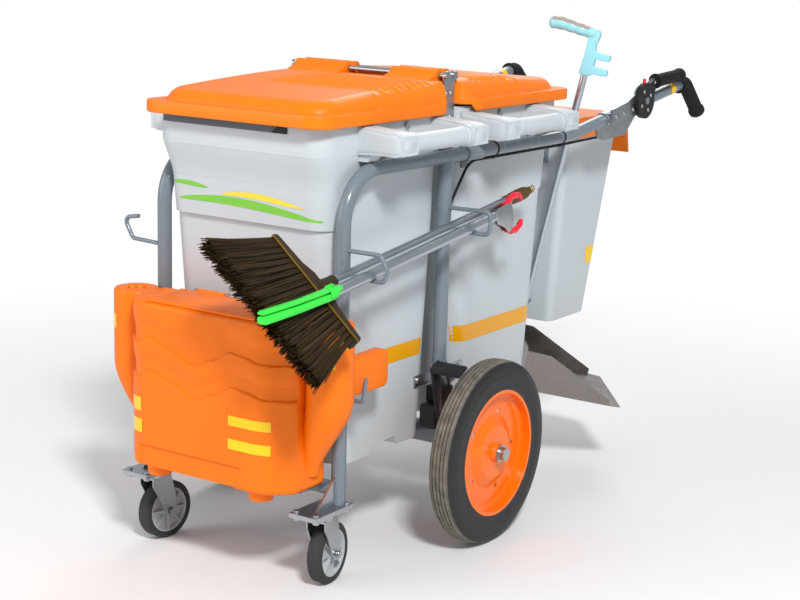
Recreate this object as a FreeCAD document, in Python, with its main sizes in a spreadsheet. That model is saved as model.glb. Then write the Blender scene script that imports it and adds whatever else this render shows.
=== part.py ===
# A street sweeper's handcart: two lidded bins back to back in a tube frame on two large wheels and
# two swivel castors, with a tool box in front, a narrow bin behind, a hand brake, and a broom,
# a litter picker and a long-handled dustpan in its hooks.
# +X is the cart's left side, -Y its front, +Z up; the ground is Z = 0 and lengths are millimetres.
# Shapes are drawn from the wheel axle, and every sub-part's Placement carries the shift from there
# to the middle of the cart's footprint.
import FreeCAD, Part
import math
import os
import Sketcher
from FreeCAD import Placement, Rotation, Vector

doc = FreeCAD.newDocument("SweeperCart")
sheet = doc.addObject("Spreadsheet::Sheet", "Sizes")

# Driving dimensions: word, millimetres or degrees, what it is; (word, distance) is measured from another size
SIZES = (
    ("bin_half", 204, "half width of a bin's body"),
    ("rim_top", 925, "rim of the bins"),
    ("origin_shift", -194.9, "from the wheel axle to the middle of the footprint, along Y"),
    ("fit", 0.3, "clearance between pieces of different bodies"),
    ("pin_fit", 0.1, "radial clearance of a pin in its hole"),
    ("tube_radius", 15, "frame tube, outer radius"),
    ("tube_wall", 2, "frame tube wall"),
    ("rail_x", ("bin_half", 25), "frame tube centre line from the middle"),
    ("rail_z", ("rim_top", -96), "rail height"),
    ("post_y", -393, "front post"),
    ("middle_y", -33, "middle post"),
    ("frame_bend", 105, "bend radius from post to rail"),
    ("rail_end_y", 500, "where the rail starts to rise"),
    ("handle_x", ("rail_x", 26), "hand grip centre from the middle"),
    ("elbow_y", 1064, "handle elbow"),
    ("elbow_z", ("rail_z", 96), "handle elbow height"),
    ("elbow_bend", 42, "handle elbow bend radius"),
    ("handle_end_y", 1156, "end of the handle tube"),
    ("handle_end_z", ("rail_z", 13), "height of the handle tube's end"),
    ("grip_radius", 18.5, "rubber hand grip, outer radius"),
    ("plate_top", 163.5, "top of the castor plates"),
    ("plate_x", ("rail_x", -8.2), "castor plate centre from the middle"),
    ("plate_y", -437, "castor plate centre"),
    ("plate_wide", 67, "castor plate, across"),
    ("plate_long", 125, "castor plate, along"),
    ("plate_thick", 5.5, "castor plate thickness"),
    ("castor_radius", 62.5, "castor wheel"),
    ("castor_width", 32, "castor tread width"),
    ("castor_trail", 28, "castor axle behind its king pin"),
    ("wheel_radius", 200, "large wheel"),
    ("wheel_x", ("rail_x", 110.5), "middle of the large wheel's tread"),
    ("tread_width", 44, "tread between the shoulders"),
    ("tyre_width", 58, "tyre across its side walls"),
    ("rim_radius", 137.5, "rim lip"),
    ("axle_radius", 10, "wheel axle"),
    ("beam", 36, "axle beam, square"),
    ("beam_y", -26, "axle beam"),
    ("beam_z", 225, "axle beam height"),
    ("pair_y", 20, "middle plane between the two bins"),
    ("bin_wall", 4, "bin wall"),
    ("bin_bottom", 225, "underside of the bins"),
    ("collar_half", ("bin_half", 9), "half width of the collar under the rim"),
    ("collar_near", 26, "collar's wall beside the middle plane"),
    ("collar_far", 462, "collar's outer wall from the middle plane"),
    ("collar_bottom", ("rim_top", -67), "lower edge of the collar"),
    ("collar_corner", 32, "corner radius of the collar"),
    ("shoulder_near", 28, "bin's inner wall under the collar"),
    ("shoulder_far", 450, "bin's outer wall under the collar"),
    ("step_z", ("rim_top", -213), "step in the bin's outer wall"),
    ("step_out", 8, "how far the wall above the step stands out"),
    ("waist_near", 34, "bin's inner wall at the step"),
    ("waist_far", 424, "bin's outer wall under the step"),
    ("foot_near", 70, "bin's inner wall at its foot"),
    ("foot_far", 374, "bin's outer wall at its foot"),
    ("foot_high", 20, "arch between the bin's feet"),
    ("corner", 44, "corner radius of the bins"),
    ("lug_x", ("rail_x", 71), "bin handle centre line from the middle"),
    ("lug_z", ("rim_top", -42), "bin handle height"),
    ("lug_near", 40, "inner end of the bin handle from the middle plane"),
    ("lug_far", 350, "outer end of the bin handle from the middle plane"),
    ("lug_thick", 50, "lug at each end of the bin handle"),
    ("handle_radius", 19, "bin handle tube"),
    ("lug_radius", 23, "ring at each end of the bin handle"),
    ("lid_half", ("bin_half", 28), "half width of a lid"),
    ("lid_near", 24, "lid's hinge edge from the middle plane"),
    ("lid_far", 492, "lid's free edge from the middle plane"),
    ("lid_bottom", ("rim_top", -8), "lower edge of the lid's skirt"),
    ("lid_flange", ("rim_top", 17), "top of the lid's flange"),
    ("lid_top", ("rim_top", 57), "top of the lid"),
    ("lid_wall", 4, "lid wall"),
    ("hinge_y", 15, "lid hinge pin from the middle plane"),
    ("hinge_z", ("rim_top", 67), "lid hinge pin height"),
    ("hinge_radius", 5, "lid hinge pin"),
    ("knuckle_radius", 13, "lid hinge knuckle"),
    ("box_front", -556, "front face of the tool box"),
    ("box_back", -411, "back of the tool box"),
    ("box_flank", ("rail_x", -17), "half width of the tool box behind its front"),
    ("box_half", ("box_flank", -40), "half width of the tool box front"),
    ("box_bottom", 205, "underside of the tool box"),
    ("box_top", 550, "top of the tool box"),
    ("box_wall", 5, "tool box wall"),
    ("holder_x", ("rail_x", 21), "broom holder column from the middle"),
    ("holder_y", -456, "broom holder column"),
    ("holder_radius", 47, "broom holder column"),
    ("holder_bore", 17, "hole in the broom holder column"),
    ("small_half", 150, "half width of the small bin"),
    ("small_bottom", 352, "underside of the small bin"),
    ("small_top", 812, "rim of the small bin"),
    ("small_front", 592, "small bin's front wall at its foot"),
    ("small_back", 772, "small bin's back wall at its foot"),
    ("small_front_top", 640, "small bin's front wall at its rim"),
    ("small_back_top", 908, "small bin's back wall at its rim"),
    ("hook_rod", 4.5, "hook rod radius"),
    ("broom_x", ("rail_x", 33), "broom handle from the middle"),
    ("picker_x", ("rail_x", 76), "litter picker from the middle"),
    ("tool_tilt", 7.4, "slope of the stored tools"),
    ("tool_z", 644, "height of the stored tools at the front hook"),
    ("broom_tube", 10, "broom handle radius"),
    ("picker_tube", 11, "litter picker tube radius"),
    ("head_length", 318, "broom head across"),
    ("bristle_length", 168, "bristles below the broom head"),
    ("pan_width", 250, "dustpan across its mouth"),
    ("pan_depth", 262, "dustpan from back to lip"),
    ("pan_height", 105, "dustpan's back wall"),
    ("pan_wall", 1.2, "dustpan sheet"),
    ("pan_tube", 8.5, "dustpan handle radius"),
    ("lever_z", ("rail_z", 66), "brake lever pivot height"),
    ("lever_y", 806, "brake lever pivot"),
    ("cable_radius", 3, "brake cable"),
)


class Size:
    """A length with its value and the expression that binds a property to the sheet."""

    def __init__(self, value, text):
        self.value, self.text = float(value), text

    def __float__(self):
        return self.value

    def __neg__(self):
        return Size(-self.value, "-(%s)" % self.text)

    def join(self, other, sign, turned=False):
        if not isinstance(other, Size):
            other = Size(other, "(%r)" % float(other))
        a, b = (other, self) if turned else (self, other)
        value = {"+": lambda: a.value + b.value, "-": lambda: a.value - b.value,
                 "*": lambda: a.value * b.value, "/": lambda: a.value / b.value}[sign]()
        return Size(value, "(%s %s %s)" % (a.text, sign, b.text))

    def __add__(self, other):
        return self.join(other, "+")

    def __radd__(self, other):
        return self.join(other, "+", True)

    def __sub__(self, other):
        return self.join(other, "-")

    def __rsub__(self, other):
        return self.join(other, "-", True)

    def __mul__(self, other):
        return self.join(other, "*")

    def __rmul__(self, other):
        return self.join(other, "*", True)

    def __truediv__(self, other):
        return self.join(other, "/")


class s:
    """The sheet's sizes by name."""


for row, (word, value, meaning) in enumerate(SIZES, 1):
    if isinstance(value, tuple):
        sheet.set("A%d" % row, "=%s + %s" % value)
        value = getattr(s, value[0]).value + value[1]
    else:
        sheet.set("A%d" % row, str(value))
    sheet.setAlias("A%d" % row, word)
    sheet.set("B%d" % row, "'" + meaning)
    setattr(s, word, Size(value, "Sizes." + word))
doc.recompute()

ALONG = {"X": Rotation(Vector(0, 1, 0), 90), "Y": Rotation(Vector(1, 0, 0), -90), "Z": Rotation()}
PARTS = []


# Ways to make a solid

def bind(obj, prop, size):
    if isinstance(size, Size):
        obj.setExpression(prop, size.text)
    elif "." not in prop:
        setattr(obj, prop, size)


def place(obj, at, turn=Rotation()):
    obj.Placement = Placement(Vector(*[float(v) for v in at]), turn)
    for axis, value in zip("xyz", at):
        bind(obj, "Placement.Base." + axis, value)
    return obj


def box(low, high):
    obj = doc.addObject("Part::Box", "Block")
    for prop, a, b in zip(("Length", "Width", "Height"), low, high):
        bind(obj, prop, b - a)
    return place(obj, low)


def cylinder(radius, length, at, along="Z"):
    obj = doc.addObject("Part::Cylinder", "Round")
    bind(obj, "Radius", radius)
    bind(obj, "Height", length)
    return place(obj, at, along if isinstance(along, Rotation) else ALONG[along])


def fuse(*shapes):
    obj = doc.addObject("Part::MultiFuse", "Joined")
    obj.Shapes = list(shapes)
    obj.Refine = True
    return obj


def cut(base, *tools):
    obj = doc.addObject("Part::Cut", "Cut")
    obj.Base = base
    obj.Tool = tools[0] if len(tools) == 1 else fuse(*tools)
    obj.Refine = True
    return obj


def group(*shapes):
    obj = doc.addObject("Part::Compound", "Set")
    obj.Links = list(shapes)
    return obj


def mirror(source, normal, plane=0.0):
    obj = doc.addObject("Part::Mirroring", "Mirrored")
    obj.Source = source
    obj.Normal = Vector(*normal)
    obj.Base = Vector(*[float(plane) * n for n in normal])
    if isinstance(plane, Size):
        obj.setExpression("Base.y", plane.text)
    return obj


def feature(shape):
    obj = doc.addObject("Part::Feature", "Form")
    obj.Shape = shape
    return obj


def part(obj, name, shifted=True):
    """Names a sub-part and carries it from the axle to the footprint's middle."""
    obj.Label = name
    if shifted:
        obj.setExpression("Placement.Base.y", s.origin_shift.text)
    PARTS.append(obj)
    return obj


def pair(left, name):
    """A left piece and its mirror image on the right."""
    part(left, name + "_left")
    return part(mirror(left, (1, 0, 0)), name + "_right", False)


# Sketches and the features made from them

def body(name):
    return doc.addObject("PartDesign::Body", name)


def sketch(owner, role, lift=0.0):
    obj = owner.newObject("Sketcher::SketchObject", "Outline")
    plane = [f for f in owner.Origin.OriginFeatures if f.Role == role][0]
    obj.AttachmentSupport = [(plane, "")]
    obj.MapMode = "FlatFace"
    obj.AttachmentOffset = Placement(Vector(0, 0, float(lift)), Rotation())
    if isinstance(lift, Size):
        obj.setExpression("AttachmentOffset.Base.z", lift.text)
    return obj


def fix(obj, kind, *where):
    """Adds a dimension, bound to the sheet where it comes from there."""
    *places, value = where
    index = obj.addConstraint(Sketcher.Constraint(kind, *places, float(value)))
    if isinstance(value, Size):
        obj.setExpression("Constraints[%d]" % index, value.text)


def polygon(obj, points):
    first = obj.GeometryCount
    count = len(points)
    flat = [Vector(float(x), float(y), 0) for x, y in points]
    for i in range(count):
        obj.addGeometry(Part.LineSegment(flat[i], flat[(i + 1) % count]))
    for i in range(count):
        obj.addConstraint(Sketcher.Constraint("Coincident", first + i, 2, first + (i + 1) % count, 1))
        fix(obj, "DistanceX", -1, 1, first + i, 1, points[i][0])
        fix(obj, "DistanceY", -1, 1, first + i, 1, points[i][1])
    return obj


def circle(obj, x, y, radius):
    index = obj.addGeometry(Part.Circle(Vector(float(x), float(y), 0), Vector(0, 0, 1), float(radius)))
    fix(obj, "DistanceX", -1, 1, index, 3, x)
    fix(obj, "DistanceY", -1, 1, index, 3, y)
    fix(obj, "Radius", index, radius)
    return obj


def rounded(obj, low, high, radius):
    """A rectangle with round corners."""
    (x0, y0), (x1, y1), r = [[float(v) for v in p] for p in (low, high)] + [float(radius)]
    corners = ((x1 - r, y0 + r, -90), (x1 - r, y1 - r, 0), (x0 + r, y1 - r, 90), (x0 + r, y0 + r, 180))
    sides = (((x0 + r, y0), (x1 - r, y0)), ((x1, y0 + r), (x1, y1 - r)),
             ((x1 - r, y1), (x0 + r, y1)), ((x0, y1 - r), (x0, y0 + r)))
    for (a, b), (cx, cy, start) in zip(sides, corners):
        obj.addGeometry(Part.LineSegment(Vector(*a, 0), Vector(*b, 0)))
        ring = Part.Circle(Vector(cx, cy, 0), Vector(0, 0, 1), r)
        obj.addGeometry(Part.ArcOfCircle(ring, math.radians(start), math.radians(start + 90)))
    for i in range(4):
        obj.addConstraint(Sketcher.Constraint("Tangent", 2 * i, 2, 2 * i + 1, 1))
        obj.addConstraint(Sketcher.Constraint("Tangent", 2 * i + 1, 2, (2 * i + 2) % 8, 1))
        obj.addConstraint(Sketcher.Constraint(("Horizontal", "Vertical")[i % 2], 2 * i))
    for i in (1, 2, 3):
        obj.addConstraint(Sketcher.Constraint("Equal", 1, 2 * i + 1))
    fix(obj, "Radius", 1, radius)
    fix(obj, "DistanceY", -1, 1, 0, 1, low[1])
    fix(obj, "DistanceX", -1, 1, 2, 1, high[0])
    fix(obj, "DistanceY", -1, 1, 4, 1, high[1])
    fix(obj, "DistanceX", -1, 1, 6, 1, low[0])
    return obj


def pad(owner, profile, length, both=False, back=False):
    obj = owner.newObject("PartDesign::Pad", "Pad")
    obj.Profile = profile
    bind(obj, "Length", length)
    obj.Midplane = both
    obj.Reversed = back
    return obj


def pocket(owner, profile, length, back=False, both=False):
    obj = owner.newObject("PartDesign::Pocket", "Pocket")
    obj.Profile = profile
    bind(obj, "Length", length)
    obj.Reversed = back
    obj.Midplane = both
    return obj


def loft(owner, profiles, remove=False):
    kind = "SubtractiveLoft" if remove else "AdditiveLoft"
    obj = owner.newObject("PartDesign::" + kind, kind)
    obj.Profile = profiles[0]
    obj.Sections = profiles[1:]
    obj.Ruled = True
    return obj


def turned(owner, profile, axis="V_Axis"):
    obj = owner.newObject("PartDesign::Revolution", "Turned")
    obj.Profile = profile
    obj.ReferenceAxis = (profile, [axis])
    obj.Angle = 360.0
    return obj


def around(owner, item, count, axis):
    obj = owner.newObject("PartDesign::PolarPattern", "Ring")
    obj.Originals = [item]
    obj.Axis = ([f for f in owner.Origin.OriginFeatures if f.Role == axis][0], [""])
    obj.Angle = 360.0
    obj.Occurrences = count
    owner.Tip = obj
    return obj


# Bent rods and tubes

def bent(points, radii):
    """Straight runs joined by arcs that touch them."""
    nodes = [Vector(*[float(v) for v in p]) for p in points]
    if not isinstance(radii, (list, tuple)):
        radii = [radii] * (len(nodes) - 2)
    edges, start = [], nodes[0]
    for i, radius in enumerate(radii, 1):
        back = (nodes[i - 1] - nodes[i]).normalize()
        ahead = (nodes[i + 1] - nodes[i]).normalize()
        half = back.getAngle(ahead) / 2
        reach = float(radius) / math.tan(half)
        enter, leave = nodes[i] + back * reach, nodes[i] + ahead * reach
        middle = nodes[i] + (back + ahead).normalize() * (float(radius) / math.sin(half) - float(radius))
        if (enter - start).Length > 0.01:
            edges.append(Part.LineSegment(start, enter).toShape())
        edges.append(Part.Arc(enter, middle, leave).toShape())
        start = leave
    edges.append(Part.LineSegment(start, nodes[-1]).toShape())
    return Part.Wire(edges)


def rod(path, radius):
    first = path.Edges[0]
    ring = Part.makeCircle(float(radius), first.valueAt(first.FirstParameter),
                           first.tangentAt(first.FirstParameter))
    return path.makePipeShell([Part.Wire(ring)], True, False)


def direction(a, b):
    return (Vector(*[float(v) for v in b]) - Vector(*[float(v) for v in a])).normalize()


def plain(radius, a, b):
    """A round bar from one point to another."""
    start = Vector(*[float(v) for v in a])
    run = Vector(*[float(v) for v in b]) - start
    return Part.makeCylinder(float(radius), run.Length, start, run)


def prism(name, role, lift, points, length, both=True):
    """A plate with straight edges, drawn on one of its own planes and thickened."""
    owner = body(name)
    pad(owner, polygon(sketch(owner, role, lift), points), length, both)
    return owner


# Frame: two bent side tubes, each from its castor plate up to the rail and back to the hand grip

HANDLE = [(s.rail_x, s.post_y, s.plate_top), (s.rail_x, s.post_y, s.rail_z),
          (s.rail_x, s.rail_end_y, s.rail_z), (s.handle_x, s.elbow_y, s.elbow_z),
          (s.handle_x, s.handle_end_y, s.handle_end_z)]
rise_bend = 300
side_path = bent(HANDLE, [s.frame_bend, rise_bend, s.elbow_bend])
side_bar = rod(side_path, s.tube_radius)
side_tube = side_bar.cut(rod(side_path, s.tube_radius - s.tube_wall))

# Rubber grips over the turned-down handle ends
grip_start, grip_cap = 34, 4
rise = direction(HANDLE[2], HANDLE[3])
drop = direction(HANDLE[3], HANDLE[4])
elbow = Vector(*[float(v) for v in HANDLE[3]])
handle_end = Vector(*[float(v) for v in HANDLE[4]])
grip_path = bent([elbow - rise * grip_start, elbow, handle_end + drop * grip_cap], s.elbow_bend)
bore_path = bent([elbow - rise * grip_start, elbow, handle_end], s.elbow_bend)
pair(feature(rod(grip_path, s.grip_radius).cut(rod(bore_path, s.tube_radius))), "hand_grip")

# Middle posts from the axle beam to the rails
beam_half = s.beam / 2
beam_top = s.beam_z + beam_half
post_high = s.rail_z - beam_top
rail_saddle = cylinder(s.tube_radius, 200, (s.rail_x, s.middle_y - 100, s.rail_z), "Y")
middle_post = cut(cylinder(s.tube_radius, post_high, (s.rail_x, s.middle_y, beam_top)),
                  cylinder(s.tube_radius - s.tube_wall, post_high, (s.rail_x, s.middle_y, beam_top)),
                  rail_saddle)
pair(group(feature(side_tube), middle_post), "frame_side")

# Axle beam with its two bearing cheeks, and the cross tubes that tie the sides together
cheek_x, cheek_thick = s.rail_x + 23, 6
cheek_low = s.wheel_radius - 24
beam_reach = s.rail_x + s.tube_radius + 14
beam_box = box((-beam_reach, s.beam_y - beam_half, s.beam_z - beam_half),
               (beam_reach, s.beam_y + beam_half, beam_top))
cheeks = [prism("Cheek", "YZ_Plane", side * cheek_x,
                [(-22, cheek_low), (22, cheek_low), (22, s.wheel_radius + 6),
                 (s.beam_y + beam_half, s.beam_z - beam_half), (s.beam_y - beam_half, s.beam_z - beam_half)],
                cheek_thick) for side in (-1, 1)]
axle_hole = cylinder(s.axle_radius, beam_reach * 2, (-beam_reach, 0, s.wheel_radius), "X")
spacer_radius = 15
spacer_recess = [cylinder(spacer_radius, 20, (x, 0, s.wheel_radius), "X")
                 for x in (cheek_x + cheek_thick / 2, -cheek_x - cheek_thick / 2 - 20)]
part(cut(fuse(beam_box, *cheeks), axle_hole, *spacer_recess), "axle_beam")

cross_radius = 12
cross_z = s.box_bottom - 4 - cross_radius
cross_reach = s.rail_x
post_saddles = [cylinder(s.tube_radius, 60, (side * s.rail_x, s.post_y, cross_z - 30)) for side in (-1, 1)]
front_tube = cut(cylinder(cross_radius, cross_reach * 2, (-cross_reach, s.post_y, cross_z), "X"), *post_saddles)
shelf_front, shelf_back = s.box_front + 74, s.post_y + 8
shelf_z = s.box_bottom - 4
shelf_half = s.box_flank - 8
shelf_plate = box((-shelf_half, shelf_front, shelf_z), (shelf_half, shelf_back, s.box_bottom))
shelf_window = box((-shelf_half + 40, shelf_front + 18, shelf_z), (shelf_half - 40, shelf_back - 28, s.box_bottom))
part(cut(shelf_plate, shelf_window), "tool_box_shelf")

centre_bar = cylinder(cross_radius, cross_reach * 2, (-cross_reach, s.pair_y, s.rail_z), "X")
rail_saddles = [cylinder(s.tube_radius, 80, (side * s.rail_x, s.pair_y - 40, s.rail_z), "Y") for side in (-1, 1)]

rear_tube_y = s.rail_end_y + 26
rear_bar = cylinder(cross_radius, cross_reach * 2, (-cross_reach, rear_tube_y, s.rail_z + 1.5), "X")
side_bars = [feature(side_bar), feature(side_bar.mirror(Vector(), Vector(1, 0, 0)))]
part(group(front_tube, cut(centre_bar, *rail_saddles), cut(rear_bar, *side_bars)), "cross_tubes")

# Castor plates: the frame's own plate with its gusset, the castor's plate under it, and four bolts
bolt_x, bolt_y, bolt_radius, bolt_head = 24, 50, 4, 6.5
mount_thick, race_radius, race_high = 4, 27, 8
mount_low = s.plate_top - s.plate_thick - mount_thick


def plate(low, thick):
    owner = body("Plate")
    outline = sketch(owner, "XY_Plane", low)
    polygon(outline, [(s.plate_x + a * s.plate_wide / 2, s.plate_y + b * s.plate_long / 2)
                      for a, b in ((-1, -1), (1, -1), (1, 1), (-1, 1))])
    for a in (-1, 1):
        for b in (-1, 1):
            circle(outline, s.plate_x + a * bolt_x, s.plate_y + b * bolt_y, bolt_radius + 0.2)
    pad(owner, outline, thick)
    return owner


gusset = prism("Gusset", "YZ_Plane", s.rail_x, [(s.post_y - s.tube_radius, s.plate_top),
                                                (s.post_y - s.tube_radius, s.plate_top + 58),
                                                (s.post_y - 74, s.plate_top)], 5)
race = cylinder(race_radius, race_high, (s.plate_x, s.plate_y, mount_low - race_high))
bolts = []
for a in (-1, 1):
    for b in (-1, 1):
        x, y = s.plate_x + a * bolt_x, s.plate_y + b * bolt_y
        shank = cylinder(bolt_radius, s.plate_thick + mount_thick, (x, y, mount_low))
        top = cut(cylinder(bolt_head, 4, (x, y, s.plate_top)),
                  cylinder(s.tube_radius, 60, (s.rail_x, s.post_y, s.plate_top - 10)))
        nut = cylinder(bolt_head, 6, (x, y, mount_low - 6))
        bolts.append(fuse(shank, top, nut))
pair(group(fuse(plate(s.plate_top - s.plate_thick, s.plate_thick), gusset),
           fuse(plate(mount_low, mount_thick), race), *bolts), "castor_plate")

# Castors: a swivelling fork, its axle bolt, and a rubber-tyred wheel
fork_top = mount_low - race_high - s.fit
leg_gap, leg_thick = 19, 3
bolt_out = 8


def castor(side, name, yaw):
    """One castor, drawn about its king pin with the wheel trailing along +Y, then set at its angle."""
    made = []
    crown = fuse(cylinder(race_radius, leg_thick, (0, 0, fork_top - leg_thick)),
                 box((-leg_gap - leg_thick, -22, fork_top - leg_thick - 4),
                     (leg_gap + leg_thick, s.castor_trail, fork_top - leg_thick)))
    legs = [prism("Leg", "YZ_Plane", a * (leg_gap + leg_thick / 2),
                  [(-22, fork_top - leg_thick), (-22, fork_top - 22), (s.castor_trail - 13, s.castor_radius - 8),
                   (s.castor_trail, s.castor_radius - 14), (s.castor_trail + 13, s.castor_radius - 8),
                   (s.castor_trail + 16, s.castor_radius + 16), (s.castor_trail, fork_top - leg_thick)],
                  leg_thick) for a in (-1, 1)]
    reach = leg_gap + leg_thick + bolt_out
    pin = fuse(cylinder(4, 2 * reach, (-reach, s.castor_trail, s.castor_radius), "X"),
               cylinder(7, 5, (-reach, s.castor_trail, s.castor_radius), "X"),
               cylinder(7, 5, (reach - 5, s.castor_trail, s.castor_radius), "X"))
    pin_hole = cylinder(4, 2 * reach, (-reach, s.castor_trail, s.castor_radius), "X")
    made.append((group(cut(fuse(crown, *legs), pin_hole), pin), "castor_fork_"))
    half = s.castor_width / 2
    tyre = body("CastorTyre")
    turned(tyre, polygon(sketch(tyre, "XY_Plane"), [
        (-half + 1, s.castor_radius - 14), (half - 1, s.castor_radius - 14), (half, s.castor_radius - 6),
        (half - 4, s.castor_radius), (-half + 4, s.castor_radius), (-half, s.castor_radius - 6)]), "H_Axis")
    made.append((tyre, "castor_tyre_"))
    hub = body("CastorHub")
    rim = s.castor_radius - 14
    turned(hub, polygon(sketch(hub, "XY_Plane"), [
        (-half, 4 + s.pin_fit), (half, 4 + s.pin_fit), (half, 13), (4, 17), (4, rim - 6), (half - 2, rim - 3),
        (half - 2, rim), (-half + 2, rim), (-half + 2, rim - 3), (-4, rim - 6), (-4, 17), (-half, 13)]), "H_Axis")
    rib = pad(hub, polygon(sketch(hub, "YZ_Plane"), [(-1.2, 15), (1.2, 15), (1.2, rim - 2), (-1.2, rim - 2)]),
              2 * half - 6, True)
    around(hub, rib, 8, "X_Axis")
    made.append((hub, "castor_hub_"))
    for obj, word in made:
        on_axle = word != "castor_fork_"
        trail = s.castor_trail * (1 if on_axle else 0)
        place(obj, (side * s.plate_x - math.sin(math.radians(yaw)) * trail,
                    s.plate_y + s.origin_shift + math.cos(math.radians(yaw)) * trail,
                    s.castor_radius * (1 if on_axle else 0)), Rotation(Vector(0, 0, 1), yaw))
        part(obj, word + name, False)


castor(1, "left", 8)
castor(-1, "right", -7)

# Large wheels: a ribbed solid tyre on a dished rim, turning on a hub
grooves, groove_wide, groove_deep = 4, 2.6, 3
lip_wide, well = 28, 4


def tyre_outline():
    """The tread's ribs, rounded shoulders, side walls and the seat on the rim."""
    half, pitch = s.tread_width / 2, s.tread_width / (grooves + 1)
    points = []
    for i in range(grooves):
        x = s.wheel_x - half + pitch * (i + 1)
        crown = s.wheel_radius - 1.2 * abs(i - (grooves - 1) / 2) / grooves
        points += [(x - groove_wide / 2, crown), (x - groove_wide / 2, crown - groove_deep),
                   (x + groove_wide / 2, crown - groove_deep), (x + groove_wide / 2, crown)]
    side = s.tyre_width / 2
    seat = s.rim_radius - well
    points += [(s.wheel_x + half, s.wheel_radius - 3), (s.wheel_x + side - 2, s.wheel_radius - 16),
               (s.wheel_x + side, s.wheel_radius - 34), (s.wheel_x + side - 1, s.rim_radius + 12),
               (s.wheel_x + lip_wide, s.rim_radius + 0.2), (s.wheel_x + lip_wide - 3.2, s.rim_radius + 0.2),
               (s.wheel_x + lip_wide - 3.2, seat)]
    mirrored = [(2 * s.wheel_x - x, r) for x, r in points[-7:]]
    return points + mirrored[::-1]


tyre = body("Tyre")
turned(tyre, polygon(sketch(tyre, "XY_Plane"), tyre_outline()), "H_Axis")
rim = body("Rim")
skin = 3
hub_radius = 21
half_lip = lip_wide
seat = s.rim_radius - well
turned(rim, polygon(sketch(rim, "XY_Plane"), [
    (s.wheel_x + half_lip, seat - skin), (s.wheel_x + half_lip, s.rim_radius), (s.wheel_x + half_lip - skin, s.rim_radius),
    (s.wheel_x + half_lip - skin, seat), (s.wheel_x - half_lip + skin, seat), (s.wheel_x - half_lip + skin, s.rim_radius),
    (s.wheel_x - half_lip, s.rim_radius), (s.wheel_x - half_lip, seat - skin), (s.wheel_x - 2, seat - skin),
    (s.wheel_x + 2, seat - skin - 12), (s.wheel_x + 4, 78), (s.wheel_x + 15, 56), (s.wheel_x + 17, hub_radius),
    (s.wheel_x + 20, hub_radius), (s.wheel_x + 18, 58), (s.wheel_x + 7, 80), (s.wheel_x + 6, seat - skin - 13),
    (s.wheel_x + 10, seat - skin)]), "H_Axis")
hole = pocket(rim, circle(sketch(rim, "YZ_Plane", s.wheel_x - 40), 88, 0, 5.5), 80, True)
around(rim, hole, 5, "X_Axis")
hub_out, hub_in = 31, 44
hub = body("Hub")
bore = s.axle_radius + s.pin_fit
turned(hub, polygon(sketch(hub, "XY_Plane"), [
    (s.wheel_x - hub_in, bore), (s.wheel_x + hub_out, bore), (s.wheel_x + hub_out, 17), (s.wheel_x + 22, hub_radius),
    (s.wheel_x - hub_in, hub_radius)]), "H_Axis")
for obj in (tyre, rim, hub):
    place(obj, (0, 0, s.wheel_radius))
pair(group(tyre), "tyre")
pair(group(rim, hub), "wheel_rim")

# Axle with a washer and a domed nut outside each hub, and a spacer inside it
washer, nut_long = 3, 12
axle_end = s.wheel_x + hub_out + s.fit + washer + nut_long
spacer_start = cheek_x + cheek_thick / 2
shaft = cylinder(s.axle_radius, axle_end * 2 - 8, (4 - axle_end, 0, s.wheel_radius), "X")
fittings = []
for side in (-1, 1):
    for at, long, radius in ((s.wheel_x + hub_out + s.fit, washer, 19), (axle_end - nut_long, nut_long, 14),
                             (spacer_start, s.wheel_x - hub_in - s.fit - spacer_start, spacer_radius)):
        low = at if side > 0 else -(at + long)
        fittings.append(cylinder(radius, long, (low, 0, s.wheel_radius), "X"))
part(fuse(shaft, *fittings), "axle")

# Bins, drawn as the front one; the rear one is its mirror image
middle = s.pair_y + s.origin_shift


def front_y(away):
    """Y of a place that is so far in front of the bins' middle plane."""
    return s.pair_y - away


def level(owner, z, half, near, far, inset, radius):
    return rounded(sketch(owner, "XY_Plane", z), (inset - half, front_y(far) + inset),
                   (half - inset, front_y(near) - inset), radius)


front_bin = body("Bin")
bin_levels = (
    ((s.bin_bottom, s.bin_half, s.foot_near, s.foot_far), (s.step_z, s.bin_half, s.waist_near, s.waist_far)),
    ((s.step_z, s.bin_half, s.waist_near, s.waist_far + s.step_out),
     (s.collar_bottom, s.bin_half, s.shoulder_near, s.shoulder_far)),
    ((s.collar_bottom, s.collar_half, s.collar_near, s.collar_far),
     (s.rim_top, s.collar_half, s.collar_near, s.collar_far)))
for low, high in bin_levels:
    loft(front_bin, [level(front_bin, *low, 0, s.corner), level(front_bin, *high, 0, s.corner)])
floor_z = s.bin_bottom + s.foot_high + s.bin_wall
loft(front_bin, [level(front_bin, floor_z, s.bin_half, s.foot_near - 2, s.foot_far + 2, s.bin_wall, s.corner - s.bin_wall),
                 level(front_bin, s.step_z, s.bin_half, s.waist_near, s.waist_far, s.bin_wall,
                       s.corner - s.bin_wall)], True)
loft(front_bin, [level(front_bin, s.step_z, s.bin_half, s.waist_near, s.waist_far + s.step_out, s.bin_wall,
                       s.corner - s.bin_wall),
                 level(front_bin, s.collar_bottom, s.bin_half, s.shoulder_near, s.shoulder_far, s.bin_wall,
                       s.corner - s.bin_wall)], True)
loft(front_bin, [level(front_bin, s.collar_bottom, s.bin_half, s.shoulder_near, s.shoulder_far, s.bin_wall,
                       s.corner - s.bin_wall),
                 level(front_bin, s.rim_top, s.collar_half, s.collar_near, s.collar_far, s.bin_wall,
                       s.corner - s.bin_wall)], True)
arch = polygon(sketch(front_bin, "YZ_Plane"), [
    (front_y(s.foot_far - 96), s.bin_bottom - 5), (front_y(s.foot_near + 96), s.bin_bottom - 5),
    (front_y(s.foot_near + 110), s.bin_bottom + s.foot_high), (front_y(s.foot_far - 110), s.bin_bottom + s.foot_high)])
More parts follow.
